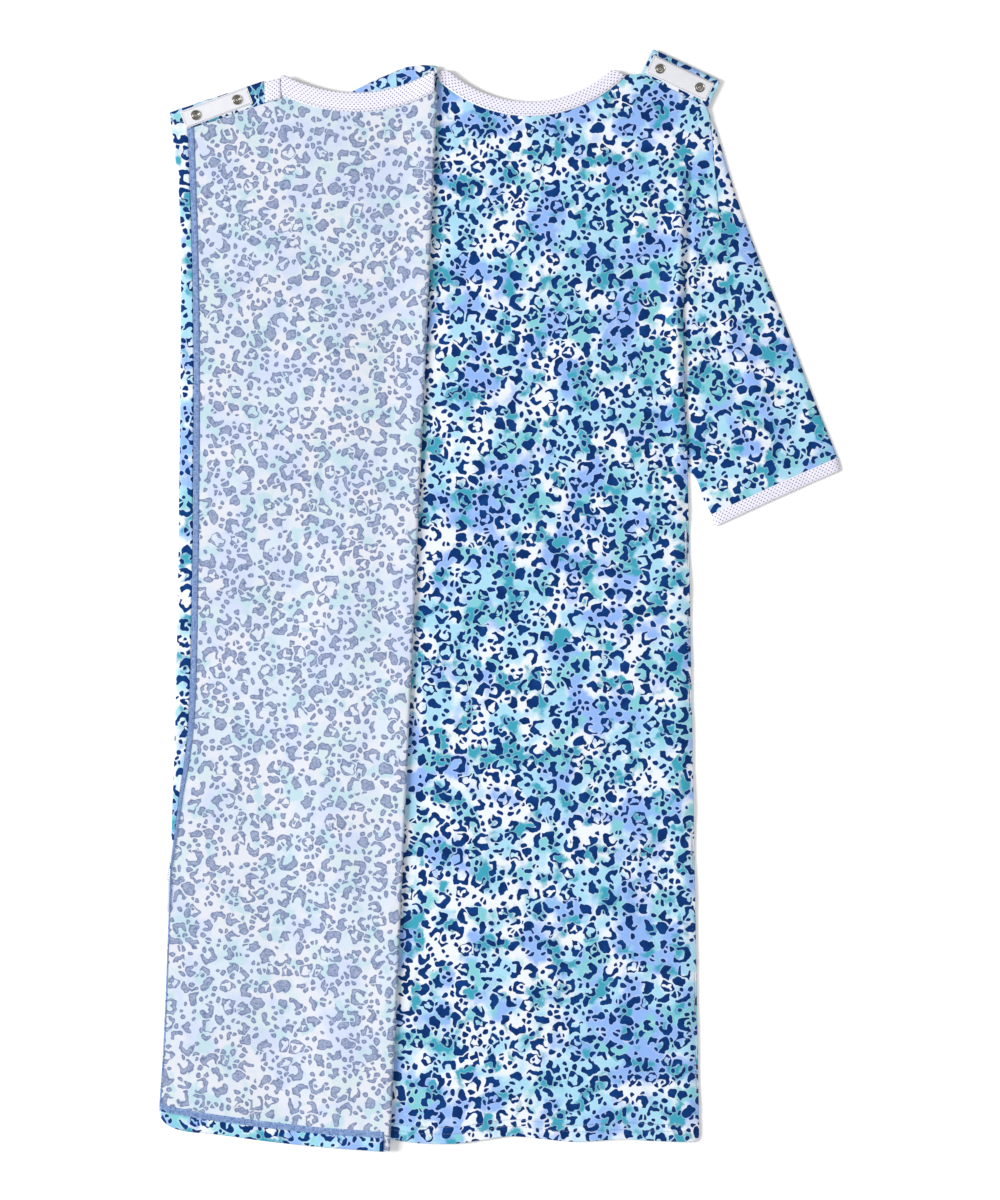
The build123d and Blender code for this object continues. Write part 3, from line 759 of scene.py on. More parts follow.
def new_material(name, roughness, sheen=0.0, metallic=0.0, specular=0.3):
    """Empty node material, with the values that are the same all over set on its shader."""
    material = bpy.data.materials.new(name)
    material.use_nodes = True
    shader = material.node_tree.nodes["Principled BSDF"].inputs
    for socket, value in (("Roughness", roughness), ("Metallic", metallic), ("Specular IOR Level", specular),
                          ("Sheen Weight", sheen), ("Sheen Roughness", 0.5)):
        shader[socket].default_value = value
    return material, shader


def cloth_place(material):
    """Place on the flat cloth, in millimetres."""
    return Field(add(material.node_tree, "ShaderNodeUVMap", uv_map="cloth").outputs[0]) * 1000.0


def object_place(material):
    return Field(add(material.node_tree, "ShaderNodeTexCoord").outputs["Object"])


def finish(shader, colour, relief, depth, strength):
    """Colour, and fine relief of a depth in metres."""
    put(shader["Base Color"], colour)
    bump = add(relief.tree, "ShaderNodeBump", {"Height": relief, "Distance": depth, "Strength": strength})
    put(shader["Normal"], Field(bump.outputs["Normal"]))


def cloth_material(name, look, roughness, sheen, specular, *colours):
    """Material whose colour, relief, and relief's depth and strength come from its look."""
    material, shader = new_material(name, roughness, sheen=sheen, specular=specular)
    finish(shader, *look(cloth_place(material), *colours))
    return material


def knit(where, wale=1.1):
    """Height of a jersey's fine ribs and loops."""
    x, y, _ = where.parts()
    across = (x * (TURN / wale)).sine()
    loops = (y * (TURN / (wale * 0.8)) + across * 0.9).sine()
    return (across + loops) * 0.25 + noise(where, 0.6, detail=3.0)


def print_ground(where, white, cyan, teal, periwinkle, mint):
    """Watercolour patches that run into each other."""
    soft = shaken(where, 9.0, 15.0, detail=4.0, rough=0.62, seed=5.0)
    colour = white
    for patch, size, seed, low, high in ((cyan, 34.0, 11.0, 0.45, 0.58), (periwinkle, 38.0, 23.0, 0.50, 0.61),
                                         (mint, 30.0, 37.0, 0.55, 0.65), (teal, 25.0, 51.0, 0.54, 0.63)):
        colour = mixed(noise(soft, size, detail=1.6, seed=seed).ramp(low, high), colour, patch)
    return colour


def print_look(where):
    """Printed side of the jersey: navy spots with a pale halo on a watercolour ground."""
    shape = from_group(SPOTS, where)
    ground = print_ground(where, paint(230, 236, 245), paint(164, 214, 236), paint(60, 158, 182),
                          paint(142, 178, 238), paint(128, 200, 210))
    ground = mixed(shape.ramp(1.3, 0.5) * 0.22, ground, paint(236, 232, 242))
    ink = mixed(noise(where, 14.0, detail=3.0, seed=71.0).ramp(0.35, 0.7), paint(0, 42, 100), paint(6, 60, 126))
    return mixed(shape.ramp(0.22, -0.22), ground, ink), knit(where), 0.12 * MM, 0.5


def wrong_side_look(where):
    """Wrong side of the jersey, where the print only shows through."""
    shape = from_group(SPOTS, where)
    ground = print_ground(where, paint(217, 220, 229), paint(205, 217, 230), paint(186, 212, 222),
                          paint(200, 210, 233), paint(203, 218, 224))
    grain = noise(where * (1.0, 1.4, 1.0), 2.4, detail=3.0, rough=0.75, seed=83.0)
    inner = mixed(grain.ramp(0.36, 0.6), paint(106, 122, 160), paint(156, 166, 194))
    inner = mixed(shape.ramp(-1.5, -0.7) * 0.8, inner, paint(88, 104, 148))
    mask = (shape + grain * 0.8).ramp(0.95, -0.15) * 0.95
    heather = mixed(grain.ramp(0.55, 0.8) * 0.4, ground, paint(205, 214, 234))
    return mixed(mask, heather, inner), knit(where, 0.9), 0.15 * MM, 0.6


def binding_look(where):
    """White binding with staggered rows of small lilac dots."""
    x, y, _ = shaken(where, 3.0, 0.9).parts()
    row = y / DOT_ROW
    column = x / DOT_COLUMN + row.work("FLOOR").work("FLOORED_MODULO", 2.0) * 0.5
    dot = oval((column.work("FRACT") - 0.5) * DOT_COLUMN, (row.work("FRACT") - 0.5) * DOT_ROW, 0.85, 1.1, 0.62)
    cloth = mixed(noise(where, 9.0, detail=3.0), paint(240, 238, 246), paint(229, 228, 240))
    return mixed(dot.ramp(0.22, -0.22), cloth, paint(96, 90, 156)), knit(where, 0.8), 0.1 * MM, 0.5


def tape_look(where):
    """White herringbone tape."""
    x, y, _ = where.parts()
    twill = ((x + y.work("PINGPONG", 3.0)) * (TURN / 0.9)).sine()
    tone = mixed(noise(where, 11.0, detail=3.0), paint(230, 230, 235), paint(215, 216, 224))
    return tone, twill, 0.06 * MM, 0.5


def thread_look(where, dark, light):
    """Twisted sewing thread in two close tones."""
    x, y, _ = where.parts()
    twist = ((x + y) * (TURN / 0.7)).sine()
    fleck = noise(where, 2.2, detail=3.0, rough=0.7)
    return mixed(fleck.ramp(0.35, 0.65), dark, light), twist, 0.08 * MM, 0.6


def band_look(where):
    """Blue coverstitch band: thread loops over jersey, mottled where the cloth shows through."""
    fleck = noise(where, 2.4, detail=3.0, rough=0.75)
    tone = mixed(fleck.ramp(0.38, 0.58), paint(66, 98, 160), paint(140, 168, 212))
    pale = noise(where, 4.5, detail=3.0, seed=4.0).ramp(0.5, 0.64) * 0.7
    return mixed(pale, tone, paint(160, 190, 224)), fleck, 0.25 * MM, 0.7


def nickel_material():
    """Plated snap metal, with fine scratches, a duller film in places, and painted shade in its grooves."""
    material, shader = new_material("snap_nickel", 0.3, metallic=1.0, specular=0.5)
    where = object_place(material) * 1000.0
    film = noise(where, 2.5, detail=4.0, rough=0.65)
    scratch = noise(where * (7.0, 0.7, 1.0), 1.0, detail=2.0)
    radius = cloth_place(material).parts()[0]
    # Painted shade: the metal turns dark at the two groove radii, where shade falls in the snap's hollows.
    outer, inner = (abs(radius - groove).ramp(0.55, 0.25) for groove in SHADED_GROOVE_RADII)
    plated = mixed(film, paint(132, 127, 118), paint(206, 202, 194))
    finish(shader, mixed((outer + inner) * 0.85, plated, paint(52, 50, 48)), scratch, 0.02 * MM, 0.4)
    put(shader["Roughness"], film * 0.25 + 0.2)
    return material


def floor_material():
    """Matt white studio board with a faint grain."""
    material, shader = new_material("studio_floor", 0.9, specular=0.1)
    grain = noise(object_place(material), 0.4, detail=3.0)
    put(shader["Base Color"], mixed(grain, (0.92, 0.92, 0.92, 1), (0.95, 0.95, 0.95, 1)))
    return material


PRINT = cloth_material("jersey_print", print_look, 0.85, 0.03, 0.1)
WRONG_SIDE = cloth_material("jersey_wrong_side", wrong_side_look, 0.9, 0.1, 0.1)
DOTTED = cloth_material("dotted_binding", binding_look, 0.85, 0.1, 0.2)
TAPE = cloth_material("white_tape", tape_look, 0.55, 0.1, 0.35)
BAND = cloth_material("looper_band", band_look, 0.75, 0.2, 0.2)
BLUE_THREAD, GREY_THREAD, WHITE_THREAD = (
    cloth_material(name, thread_look, 0.6, 0.3, 0.3, paint(*dark), paint(*light)) for name, dark, light in (
        ("blue_thread", (84, 116, 178), (150, 172, 214)), ("grey_thread", (84, 94, 118), (140, 148, 168)),
        ("white_thread", (206, 210, 220), (238, 240, 244))))
NICKEL = nickel_material()
CLOTH_SIDES = [PRINT, WRONG_SIDE]


# ---- the over panel: sewn base, fold and turned-back flap in one sheet ----
HALF_ROLL = math.pi * FOLD_RADIUS / 2


def fold_places(plan):
    """Distance of points left of the fold line, and up along it."""
    return (plan - FOLD_TOP) @ FOLD_LEFT, (plan - FOLD_TOP) @ FOLD_UP


def flap_neck_arc(inset=0.0):
    return arc(FLAP_NECK_CENTRE, FLAP_NECK_RADIUS - inset, FLAP_NECK_END_X, FOLD_TOP[0] - 1.5 * MM)


def flap_bottom_edge():
    return joined(curve(FLAP_CORNER), curve(FLAP_BOTTOM))


def armhole_edge():
    """The right crease up to the sleeve, then the sleeve's seam."""
    return joined(curve(CREASE[:5]), curve(ARMHOLE_LINE))


def over_panel_pattern():
    """Closed outline of the unrolled over panel: across the fold, and up along it."""
    side_y = np.array([UNDERARM[1], BACK_HEM_Y])
    left_side = np.stack([2 * NECK_X - side_x(side_y), side_y], axis=1)
    base = joined(straight(*LEFT_SHOULDER), mirrored(armhole_edge())[::-1], straight(*left_side),
                  curve(BASE_HEM))
    flap = joined(flap_bottom_edge()[::-1], curve(FLAP_LEFT)[::-1], straight(*FLAP_SHOULDER[::-1]),
                  flap_neck_arc())
    base_across, base_up = fold_places(base)
    flap_across, flap_up = fold_places(flap)
    top = [(HALF_ROLL, flap_up[-1]), (0, flap_up[-1] + 16 * MM), (-HALF_ROLL, -1.5 * MM)]
    bottom = [(-HALF_ROLL, base_up[-1]), (0, base_up[-1] - 0.5 * MM), (HALF_ROLL, base_up[-1] - 0.5 * MM)]
    return joined(np.stack([-base_across - HALF_ROLL, base_up], axis=1), bottom,
                  np.stack([flap_across + HALF_ROLL, flap_up], axis=1), top)


def over_panel():
    outline = over_panel_pattern()
    low, high = outline.min(0)[0], outline.max(0)[0]
    near = HALF_ROLL + 1.5 * MM
    columns = np.concatenate([np.arange(low, -near, GRID), np.linspace(-near, near, 13),
                              np.arange(near + 2 * MM, high, GRID)])
    pattern, faces = filled(outline, columns)
    across, up = pattern[:, 0], pattern[:, 1]
    rolled = np.abs(across) < HALF_ROLL
    u = np.where(rolled, -FOLD_RADIUS * np.cos(across / FOLD_RADIUS), np.abs(across) - HALF_ROLL)
    plan = FOLD_TOP + u[:, None] * FOLD_LEFT + up[:, None] * FOLD_UP
    x, y = plan[:, 0], plan[:, 1]
    roll = BASE_Z + ripple(x, y) + FOLD_RADIUS * (1 + np.sin(across / FOLD_RADIUS))
    z = np.where(rolled, roll, np.where(across < 0, base_height(x, y), flap_height(x, y)))
    piece = new_piece("over_panel", np.column_stack([x, y, z]), faces, pattern + (1.31, 0.73), CLOTH_SIDES)
    thicken(piece)
    flat = np.column_stack([pattern, np.zeros(len(pattern))])
    blend_on_pattern(piece, flat, -HALF_ROLL, HALF_ROLL, ("root", "flap"))
    place(piece, None, "print_jersey", "over_panel_base", "over_base_hem", "over_panel_fold", "over_panel_flap")
    return piece, outline


# ---- trim of the flap ----
HEM_LIFT = 0.75 * MM
BAND_LIFT = 0.55 * MM
LOOPER_LIFT = 0.95 * MM
LOOPER_RADIUS = 0.2 * MM
WIDE_PITCH = 2.9 * MM
EDGE_HEM_YS = (-295 * MM, 505 * MM)
EDGE_BAND_YS = (-536 * MM, 497 * MM)
EDGE_BAND_FULL_Y = -330 * MM
BOTTOM_TRIM_TOP_Y = -534 * MM


def at_heights(line, ys):
    """The line's points at the given values of y, for a line that runs one way in y."""
    order = np.argsort(line[:, 1])
    return np.stack([np.interp(ys, line[order, 1], line[order, 0]), ys], axis=1)


def looper_trim(name, hem_lines, hem_shift, band_lines, band_shift, threads):
    """Turned print strip, and beside it a looper band with its threads, on an edge of the flap."""
    turn = ribbon(name + "_turned_hem", *hem_lines, above(flap_height, HEM_LIFT), [PRINT], 0.25 * MM, 0.5 * MM,
                  shift=hem_shift)
    band = ribbon(name + "_looper_band", *band_lines, above(flap_height, BAND_LIFT), [BAND], 0.2 * MM, 0.4 * MM,
                  shift=band_shift)
    thread = tubes(name + "_looper_thread", threads, LOOPER_RADIUS, [BLUE_THREAD], 4)
    return [place(turn, "flap", "print_jersey", name + "_hem"),
            place(band, "flap", "thread", name + "_stitching"), place(thread, "flap", "thread")]


def flap_edge_trim():
    """Trim down the flap's free edge."""
    hem_ys = np.arange(*EDGE_HEM_YS, EDGE_STEP)[::-1]
    hem_lines = [at_heights(curve(line), hem_ys) for line in (FLAP_LEFT, EDGE_HEM_INNER)]
    ys = np.arange(*EDGE_BAND_YS, EDGE_STEP)[::-1]
    edge, inner = (at_heights(curve(line), ys) for line in (FLAP_LEFT, EDGE_HEM_INNER))
    start = np.where(ys[:, None] > EDGE_HEM_YS[0], inner, edge)
    width = EDGE_BAND_END + (EDGE_BAND - EDGE_BAND_END) * rise(ys - EDGE_BAND_FULL_Y, 0, 250)
    end = start + np.stack([width, np.zeros(len(ys))], axis=1)
    upper = ys > EDGE_BAND_FULL_Y
    middle = (start + end)[upper] / 2
    over = above(flap_height, LOOPER_LIFT)
    loops = [looper_path(middle, over, EDGE_BAND * 0.86),
             looper_path(middle + (0.6 * MM, 0), over, EDGE_BAND * 0.5, WIDE_PITCH)]
    rows = [np.column_stack([row, over(row[:, 0], row[:, 1])])
            for row in (start[upper] + (1.2 * MM, 0), end[upper] - (1.2 * MM, 0))]
    return looper_trim("flap_edge", hem_lines, (0.3, 0.6), (start, end), (0, 0), loops + rows)


def flap_bottom_trim():
    """Trim along the flap's bottom edge."""
    edge = resample(flap_bottom_edge(), 110)
    edge = edge[edge[:, 1] < BOTTOM_TRIM_TOP_Y]
    depth = np.interp(edge[:, 0], *BOTTOM_HEM_DEPTHS.T)
    top = edge + np.stack([0 * depth, depth], axis=1)
    low = top - (0, 0.3 * MM)
    high = low + (0.3 * MM, BOTTOM_BAND)
    middle = (low + high)[3:-1] / 2
    over = above(flap_height, LOOPER_LIFT)
    loops = [looper_path(middle, over, BOTTOM_BAND * 0.8),
             looper_path(middle, over, BOTTOM_BAND * 0.45, WIDE_PITCH)]
    return looper_trim("flap_bottom", (top, edge), (0.9, 0.2), (high, low), (0.4, 0.1), loops)


def neck_binding(name, folded, sewn, height, body, shift=(0, 0)):
    """Dotted binding along a neckline."""
    binding = ribbon(name + "_neck_binding_cloth", folded, sewn, above(height, 0.5 * MM), [DOTTED], 0.7 * MM,
                     0.9 * MM, 10, shift)
    return place(binding, body, "dotted_binding", name + "_neck_binding")


def neck_stitches(name, line, height, body):
    """Row of topstitch along a neck binding."""
    row = stitch_paths(resample(line, 200), above(height, 1.55 * MM), 2.2 * MM)
    return place(tubes(name + "_neck_topstitch", row, NECK_THREAD_RADIUS, [GREY_THREAD]), body, "thread")


def flap_neck_trim():
    """Dotted binding along the flap's neckline, and its folded end."""
    sewn, folded = (resample(flap_neck_arc(inset), 70) for inset in (SEWN_INSET, FLAP_BINDING))
    corner = np.clip(1 - along(folded) / (8 * MM), 0, 1)
    folded = folded - np.stack([0 * corner, 5 * MM * (1 - np.sqrt(1 - corner**2))], axis=1)
    binding = neck_binding("flap", folded, sewn, flap_height, "flap")
    right, left = FLAP_NECK_END_X + 1 * MM, FLAP_NECK_END_X - 16 * MM
    top, low = 546.5 * MM, 521 * MM
    end = ribbon("flap_binding_end_cloth", straight((left, top - 4 * MM), (left + 0.5 * MM, low)),
                 straight((right, top), (right + 0.5 * MM, low + 4 * MM)), above(flap_height, 1.35 * MM),
                 [DOTTED], 0.5 * MM, 0.8 * MM, shift=(0.5, 0.0))
    place(end, "flap", "dotted_binding", "flap_binding_end")
    return [binding, end, neck_stitches("flap", flap_neck_arc(STITCH_ROW_INSET), flap_height, "flap")]


# ---- snap tapes ----
def corner_rounded(length, width, radius):
    """Upper and lower edges of a rounded strip about its own centre."""
    xs = np.concatenate([-length / 2 + radius * (1 - np.cos(np.linspace(0, math.pi / 2, 6))),
                         np.linspace(-length / 2 + radius, length / 2 - radius, 28)[1:-1],
                         length / 2 - radius * (1 - np.sin(np.linspace(0, math.pi / 2, 6)))])
    into = np.clip(1 - (length / 2 - np.abs(xs)) / radius, 0, 1)
    half = width / 2 - radius + radius * np.sqrt(1 - into**2)
    return np.stack([xs, half], axis=1), np.stack([xs, -half], axis=1)


def strip(name, centre, angle, size, height, material, bulge, thickness, radius=1.2 * MM, shift=(0, 0)):
    upper, lower = (turned(centre, angle, line) for line in corner_rounded(*size, radius))
    return ribbon(name, upper, lower, height, [material], bulge, thickness, 10, shift)


def taped_snaps(name, centre, angle, size, z, bulge, body, snaps, profile, shift=(0, 0)):
    """Tape with a thin topstitch once round it, and two snap halves."""
    tape = strip(name + "_tape_cloth", centre, angle, size, level(z), TAPE, bulge, 0.35 * MM, shift=shift)
    place(tape, body, "snap_tape", name + "_snap_tape")
    half_x, half_y = (side / 2 - STITCH_INSET for side in size)
    corners = [(-half_x, -half_y), (half_x, -half_y), (half_x, half_y), (-half_x, half_y)]
    paths = []
    for start, end in zip(corners, corners[1:] + corners[:1]):
        side = straight(*turned(centre, angle, (start, end)), step=1 * MM)
        paths += stitch_paths(side, above(level(z), 0.42 * MM), 2.0 * MM, 0.7 * MM)
    stitch = place(tubes(name + "_tape_topstitch", paths, 0.16 * MM, [GREY_THREAD]), body, "thread")
    half = np.array([math.cos(angle), math.sin(angle)]) * SNAP_PITCH / 2
    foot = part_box(name + "_" + snaps)[0].z
    spots = [(*(centre - half), foot), (*(centre + half), foot)]
    metal = lathed(name + "_snap_" + snaps, profile, spots, [NICKEL])
    return [tape, stitch, place(metal, body, "snap_metal", name + "_" + snaps)]


def flap_closure():
    """Facing, tape, sockets and springs on the flap's shoulder edge."""
    edge = straight(FLAP_SHOULDER[-1] + (1.0 * MM, -0.3 * MM), FLAP_SHOULDER[-2], step=3 * MM)
    facing = ribbon("flap_facing_cloth", edge, offset(edge, -FACING_DEPTH), above(flap_height, HEM_LIFT),
                    [PRINT], 0.15 * MM, 0.5 * MM, shift=(1.7, 0.4))
    place(facing, "flap", "print_jersey", "flap_shoulder_facing")
    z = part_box("flap_snap_tape")[0].z + 0.2 * MM
    return [facing, *taped_snaps("flap", FLAP_TAPE_CENTRE, FLAP_TAPE_ANGLE, FLAP_TAPE_SIZE, z, 0.22 * MM,
                                 "flap", "sockets", SOCKET_PROFILE)]


def shoulder_tab():
    """Self-fabric tab on the right shoulder, with its tape and two studs."""
    low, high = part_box("shoulder_tab")
    tab = strip("tab_cloth", TAB_CENTRE, TAB_ANGLE, TAB_SIZE, level((low.z + high.z) / 2 + 0.1 * MM), PRINT,
                0.1 * MM, 1.1 * MM, 2.0 * MM, (2.2, 1.1))
    place(tab, "root", "print_jersey", "shoulder_tab")
    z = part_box("tab_snap_tape")[0].z + 0.22 * MM
    taped_snaps("tab", TAB_TAPE_CENTRE, TAB_ANGLE, TAPE_SIZE, z, 0.2 * MM, "root", "studs", STUD_PROFILE,
                (0.2, 0.3))


# ---- the under panel ----
def under_panel_outline():
    free_edge = straight(mirrored(NECK_POINT), mm((-146, 519))[0], (UNDER_FREE_EDGE_X, 270 * MM),
                         (UNDER_FREE_EDGE_X, -563 * MM))
    hem = curve(np.concatenate([mm((-125, -563), (-118, -564.4), (-86, -569.4)), UNDER_HEM_WAVE]))
    side = straight(UNDER_HEM_WAVE[-1], UNDERARM)
    return joined(neck_arc(BACK_NECK_DEPTH), free_edge, hem, side, armhole_edge(), straight(*SHOULDER_LINE))


def under_panel():
    outline = under_panel_outline()
    piece = plan_sheet("under_panel_cloth", outline, under_height, CLOTH_SIDES, (0.4, 0.9), [curve(CREASE)])
    bend_at_armhole(piece, side_stays=True)
    place(piece, None, "print_jersey", "under_panel", "under_hem", "under_edge_hem")
    return piece, outline


def under_trim():
    """Dotted binding on the back neckline, and the hem's two rows of topstitch."""
    sewn, folded = (resample(neck_arc(BACK_NECK_DEPTH, inset), 80) for inset in (SEWN_INSET, BINDING))
    folded[:, 1] = np.minimum(folded[:, 1], 555.5 * MM)
    binding = neck_binding("under", folded, sewn, under_height, "root", (0.1, 0.05))
    stitches = neck_stitches("under", neck_arc(BACK_NECK_DEPTH, STITCH_ROW_INSET), under_height, "root")
    hem = curve(np.concatenate([mm((-122, -564), (-86, -569.4)), UNDER_HEM_WAVE[:-2]]), 2 * MM)
    rows = [path for up in HEM_ROWS for path in stitch_paths(hem + (0, up), above(under_height, 0.5 * MM))]
    hem_rows = tubes("under_hem_topstitch", rows, 0.2 * MM, [GREY_THREAD])
    return [binding, stitches, place(hem_rows, "root", "thread", "under_hem_stitching")]


# ---- the front panel ----
def front_panel():
    """Front panel, face down under everything."""
    corner = np.array([side_x(np.array(FRONT_HEM_Y)), FRONT_HEM_Y])
    outline = joined(neck_arc(FRONT_NECK_DEPTH),
                     straight(mirrored(NECK_POINT), *mm((-73, 557), (-98, 556.5), (-152, 532), (-149, 514))),
                     straight(mm((-149, 514))[0], mirrored(UNDERARM), mirrored(corner), corner, UNDERARM,
                              mm((211, 513))[0], NECK_POINT))
    piece = plan_sheet("front_panel_cloth", outline, level(FRONT_Z), CLOTH_SIDES[::-1], (2.1, 1.6))
    place(piece, "root", "print_jersey", "front_panel", "front_hem")
    sewn, folded = (resample(neck_arc(FRONT_NECK_DEPTH, inset), 80) for inset in (-0.5 * MM, BINDING))
    binding = ribbon("front_neck_binding_cloth", folded, sewn, level(FRONT_Z + 0.35 * MM), [DOTTED], 0.3 * MM,
                     0.6 * MM, 10)
    place(binding, "root", "dotted_binding", "front_neck_binding")
    return piece, outline, binding


# ---- sleeves ----
SLEEVE_MIDDLE = 1.15 * MM
SLEEVE_CLOTH = 0.7 * MM
CUFF_ROWS = [*((t, 0.30 + 0.28 * (1 - abs(2 * t - 1) ** 4)) for t in np.linspace(-0.04, 1.0, 9)),
             (1.03, 0.1), (1.0, -0.15), (0.7, -0.4), (0.3, -0.45)]


def sleeve_folds(x, y):
    """Soft folds that run down the sleeve from its crease."""
    lengthwise = (x - 235 * MM) * 0.90 + (y - 300 * MM) * 0.42
    slanted = lengthwise + 6 * MM - 0.05 * (300 * MM - y)
    low = (x - 262 * MM) * 0.8 + (y - 170 * MM) * 0.6
    return (1.5 * MM * hump(slanted, 0, 8) * hump(y, 235, 70)
            + 0.9 * MM * hump(lengthwise, 30, 13) * hump(y, 330, 60)
            + 1.1 * MM * hump(low, 0, 11) * hump(y, 160, 50))


def rounded_off(to_fold):
    """How far the layers of a flattened tube have come apart, at a distance from its fold."""
    return np.sqrt(1 - (1 - np.clip(to_fold / (6 * MM), 0, 1)) ** 2)


def sleeve_layers(plan, outer, under):
    """Heights of the upper and lower layers of a flattened sleeve."""
    x, y = plan[:, 0], plan[:, 1]
    at_body = np.interp(y, *joined(CREASE[:5], ARMHOLE_LINE).T[::-1])
    swell = 0.5 * MM * fall(x - at_body, 22, 22) * rise(y, 290, 60)
    tuck = 0.95 * MM * fall(x - at_body, 1, 4)
    dip = 1.3 * MM * hump(x - at_body, 0, 6) * fall(y, 330, 40)
    apart, under_apart = rounded_off(distance(plan, outer)), rounded_off(distance(plan, under[:-2]))
    upper = apart * (SLEEVE_THICK - CLOTH + swell - dip + sleeve_folds(x, y) + 0.6 * ripple(x + 0.4, y))
    lower = tuck - 0.65 * MM * apart
    return SLEEVE_MIDDLE + upper * under_apart, SLEEVE_MIDDLE + lower * under_apart


def other_side(verts, faces):
    """The same piece on the gown's left side."""
    verts[:, 0] = 2 * NECK_X - verts[:, 0]
    return verts, faces[:, ::-1]


def sleeve(side, shift):
    """Flattened sleeve: two layers joined at its folds, open at the cuff and at the armhole."""
    outer = joined(straight(*SLEEVE_TOP), curve(SLEEVE_OUTER))
    under = curve(SLEEVE_UNDER)
    outline = joined(outer, curve(CUFF), under, armhole_edge() - (SLEEVE_TUCK, 0))
    plan, faces = filled(outline)
    upper, lower = sleeve_layers(plan, outer, under)
    count = np.arange(len(plan))
    second = np.where(upper - lower < 0.05 * MM, count, count + len(plan))
    verts = np.concatenate([np.column_stack([plan, upper]), np.column_stack([plan, lower])])
    faces = np.concatenate([faces, second[faces][:, ::-1]])
    uvs = np.concatenate([plan, plan * (-1, 1) + (0.9, 0.0)])
    if side == "left":
        verts, faces = other_side(verts, faces)
    used, numbers = np.unique(faces, return_inverse=True)
    piece = new_piece(side + "_sleeve_cloth", verts[used], numbers.reshape(-1, 3), uvs[used] + shift,
                      CLOTH_SIDES)
    return thicken(piece, SLEEVE_CLOTH), outline


def cuff(side):
    """Dotted binding round the sleeve's open end, folded over its edge."""
    line = resample(curve(CUFF), 44)
    run = along(line)
    length = run[-1]
    ring = np.concatenate([run, length * 2 - run[::-1]])
    apart = rounded_off(np.minimum(run, length - run))
    end_turn = np.interp(run, [0, 3 * MM, length - 3 * MM, length], [1, 0, 0, -1])
    outward = (line[0] - line[-1]) / np.linalg.norm(line[0] - line[-1])
    verts, uvs = [], []
    for t, proud in CUFF_ROWS:
        row = line + t * CUFF_DROP
        height = 0.5 * ripple(row[:, 0] + 0.4, row[:, 1]) + sleeve_folds(row[:, 0], row[:, 1])
        up = SLEEVE_MIDDLE + apart * (SLEEVE_THICK - CLOTH + height + proud * MM)
        down = SLEEVE_MIDDLE - apart * (0.65 + 0.35 * proud) * MM
        spread = row + outward * (proud * 0.9 * MM * end_turn)[:, None]
        verts.append(np.concatenate([np.column_stack([spread, up]), np.column_stack([spread, down])[::-1]]))
        uvs.append(np.stack([ring, np.full(len(ring), t * 12 * MM)], axis=1))
    verts, faces = np.concatenate(verts), np.array(grid_faces(len(CUFF_ROWS), len(ring), close=True))
    if side == "left":
        verts, faces = other_side(verts, faces)
    return thicken(new_piece(side + "_cuff_cloth", verts, faces, np.concatenate(uvs), [DOTTED]), 0.4 * MM, 0)


def sleeves():
    """Right sleeve, which turns at the armhole, and the left one, under the flap."""
    for side, body, shift in (("right", "sleeve", (0.15, 1.35)), ("left", "root", (1.15, 2.35))):
        piece, outline = sleeve(side, shift)
        if side == "right":
            bend_at_armhole(piece)
        place(piece, body, "print_jersey", side + "_sleeve")
        trim = place(cuff(side), body, "dotted_binding", side + "_cuff_binding")


# ---- overlocked seams inside the gown ----
def overlock(name, line, width, height, body):
    """Seam allowance with overlock thread, as a narrow strip beside a sewn line."""
    beside = offset(line, width)
    allowance = ribbon(name + "_allowance", line, beside, height, [WRONG_SIDE], 0.2 * MM, 0.9 * MM, 4)
    place(allowance, body, "print_jersey", name)
    path = looper_path((line + beside) / 2, above(height, 0.75 * MM), width * 0.8, 3.2 * MM)
    place(tubes(name + "_thread", [path], 0.2 * MM, [WHITE_THREAD], 4), body, "thread")


def seams():
    hem_y = FRONT_HEM_Y + 18 * MM
    side = straight(UNDERARM - (2 * MM, 3 * MM), (side_x(hem_y) - 2 * MM, hem_y))
    shoulder = straight(*mm((141, 544), (204, 516)))
    armhole = curve(ARMHOLE_LINE[2:-1]) - (3.5 * MM, 0)
    for seam, line, width, z, body in (("side_seam", side, -6 * MM, 2.0 * MM, "root"),
                                       ("shoulder_seam", shoulder, -6 * MM, 1.7 * MM, "root"),
                                       ("armhole_seam", armhole, 3.5 * MM, 2.5 * MM, "sleeve")):
        overlock("right_" + seam, line, width, level(z), body)
        overlock("left_" + seam, mirrored(line), -width, level(z), "root")


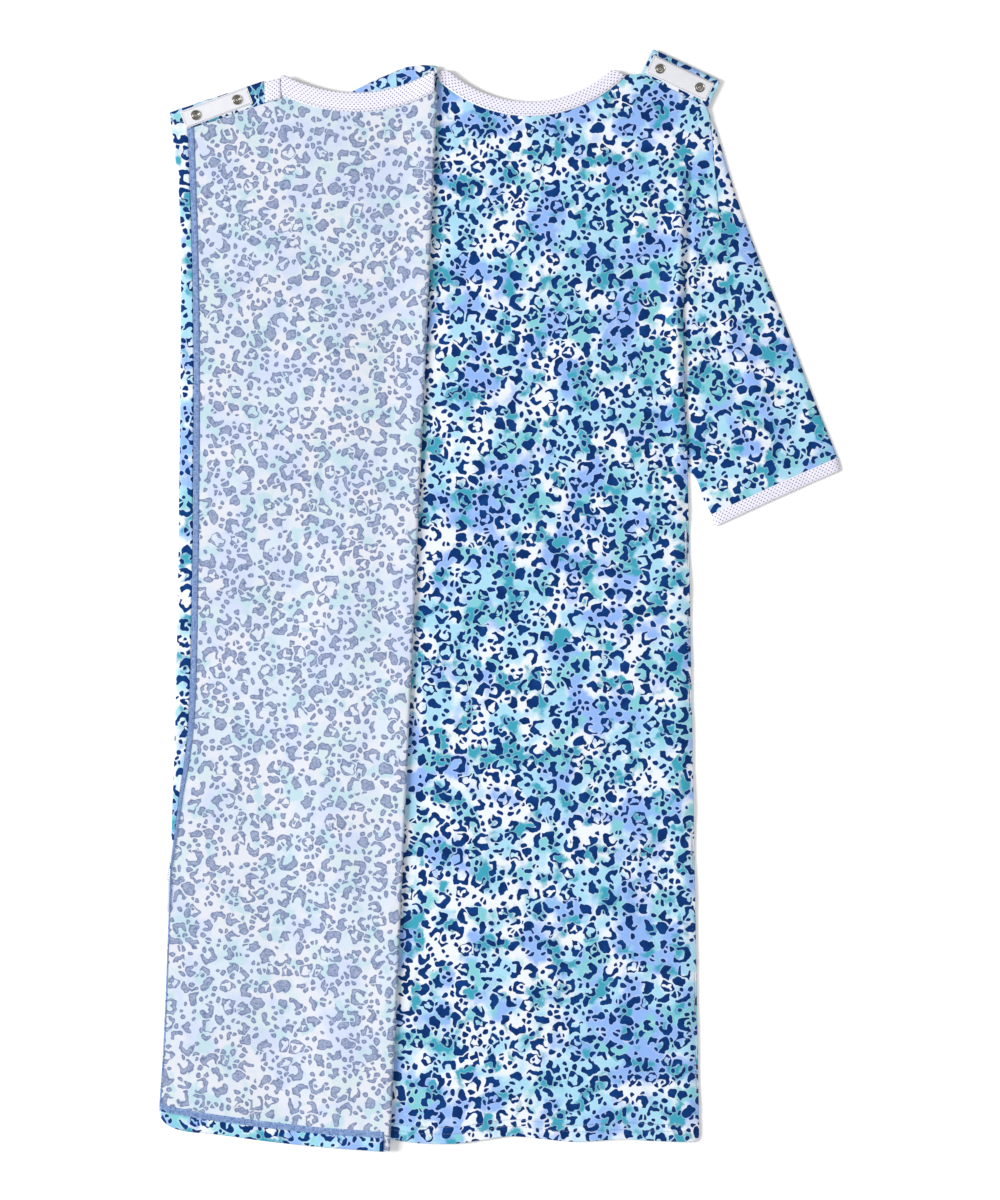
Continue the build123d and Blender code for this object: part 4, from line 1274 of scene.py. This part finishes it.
def keep_inner_snaps():
    """Metal and tape pieces between the layers keep their CAD shapes, with real finishes."""
    for name, node in frame["nodes"].items():
        if not node.hide_render:
            node.data.materials.clear()
            node.data.materials.append(TAPE if name.endswith("tape") else NICKEL)


# ---- studio ----
def area_light(name, spot, size, power):
    """Soft light that points at the middle of the gown."""
    light = bpy.data.objects.new(name, bpy.data.lights.new(name, "AREA"))
    light.data.shape = "RECTANGLE"
    light.data.size, light.data.size_y = size
    light.data.energy = power
    light.location = spot
    x, y, z = spot
    light.rotation_euler = (math.atan2(math.hypot(x, y), z), 0, math.atan2(-y, -x) - math.pi / 2)
    bpy.context.scene.collection.objects.link(light)


def studio():
    floor = new_piece("studio_floor", [(-6, -6, 0), (6, -6, 0), (6, 6, 0), (-6, 6, 0)], [(0, 1, 2, 3)],
                      [(0, 0), (1, 0), (1, 1), (0, 1)], [floor_material()], False)
    floor.location.z = -0.3 * MM
    world = bpy.data.worlds.new("studio")
    world.use_nodes = True
    sky = world.node_tree.nodes["Background"].inputs
    sky["Color"].default_value = (1.0, 1.0, 1.0, 1.0)
    sky["Strength"].default_value = 0.42
    bpy.context.scene.world = world
    area_light("key_light", (-3.8, 0.2, 2.7), (1.3, 2.2), 268)
    area_light("fill_light", (1.6, -0.6, 3.4), (3.2, 3.2), 48)
    bpy.context.scene.view_settings.view_transform = "Standard"


def camera():
    """Straight down from above the middle of the gown, with the neck at the top."""
    height, view_length = 3.0, 1.26
    data = bpy.data.cameras.new("camera")
    data.lens = data.sensor_width * height / view_length
    data.clip_end = 50
    rig = bpy.data.objects.new("camera", data)
    rig.location = (0, 0, height)
    bpy.context.scene.collection.objects.link(rig)
    bpy.context.scene.camera = rig


def build_gown():
    over, over_outline = over_panel()
    flap_trim = flap_edge_trim() + flap_bottom_trim() + flap_neck_trim() + flap_closure()
    under, under_outline = under_panel()
    trim = under_trim()
    front, front_outline, front_binding = front_panel()
    shoulder_tab()
    sleeves()
    seams()


build_gown()
keep_inner_snaps()
studio()
camera()
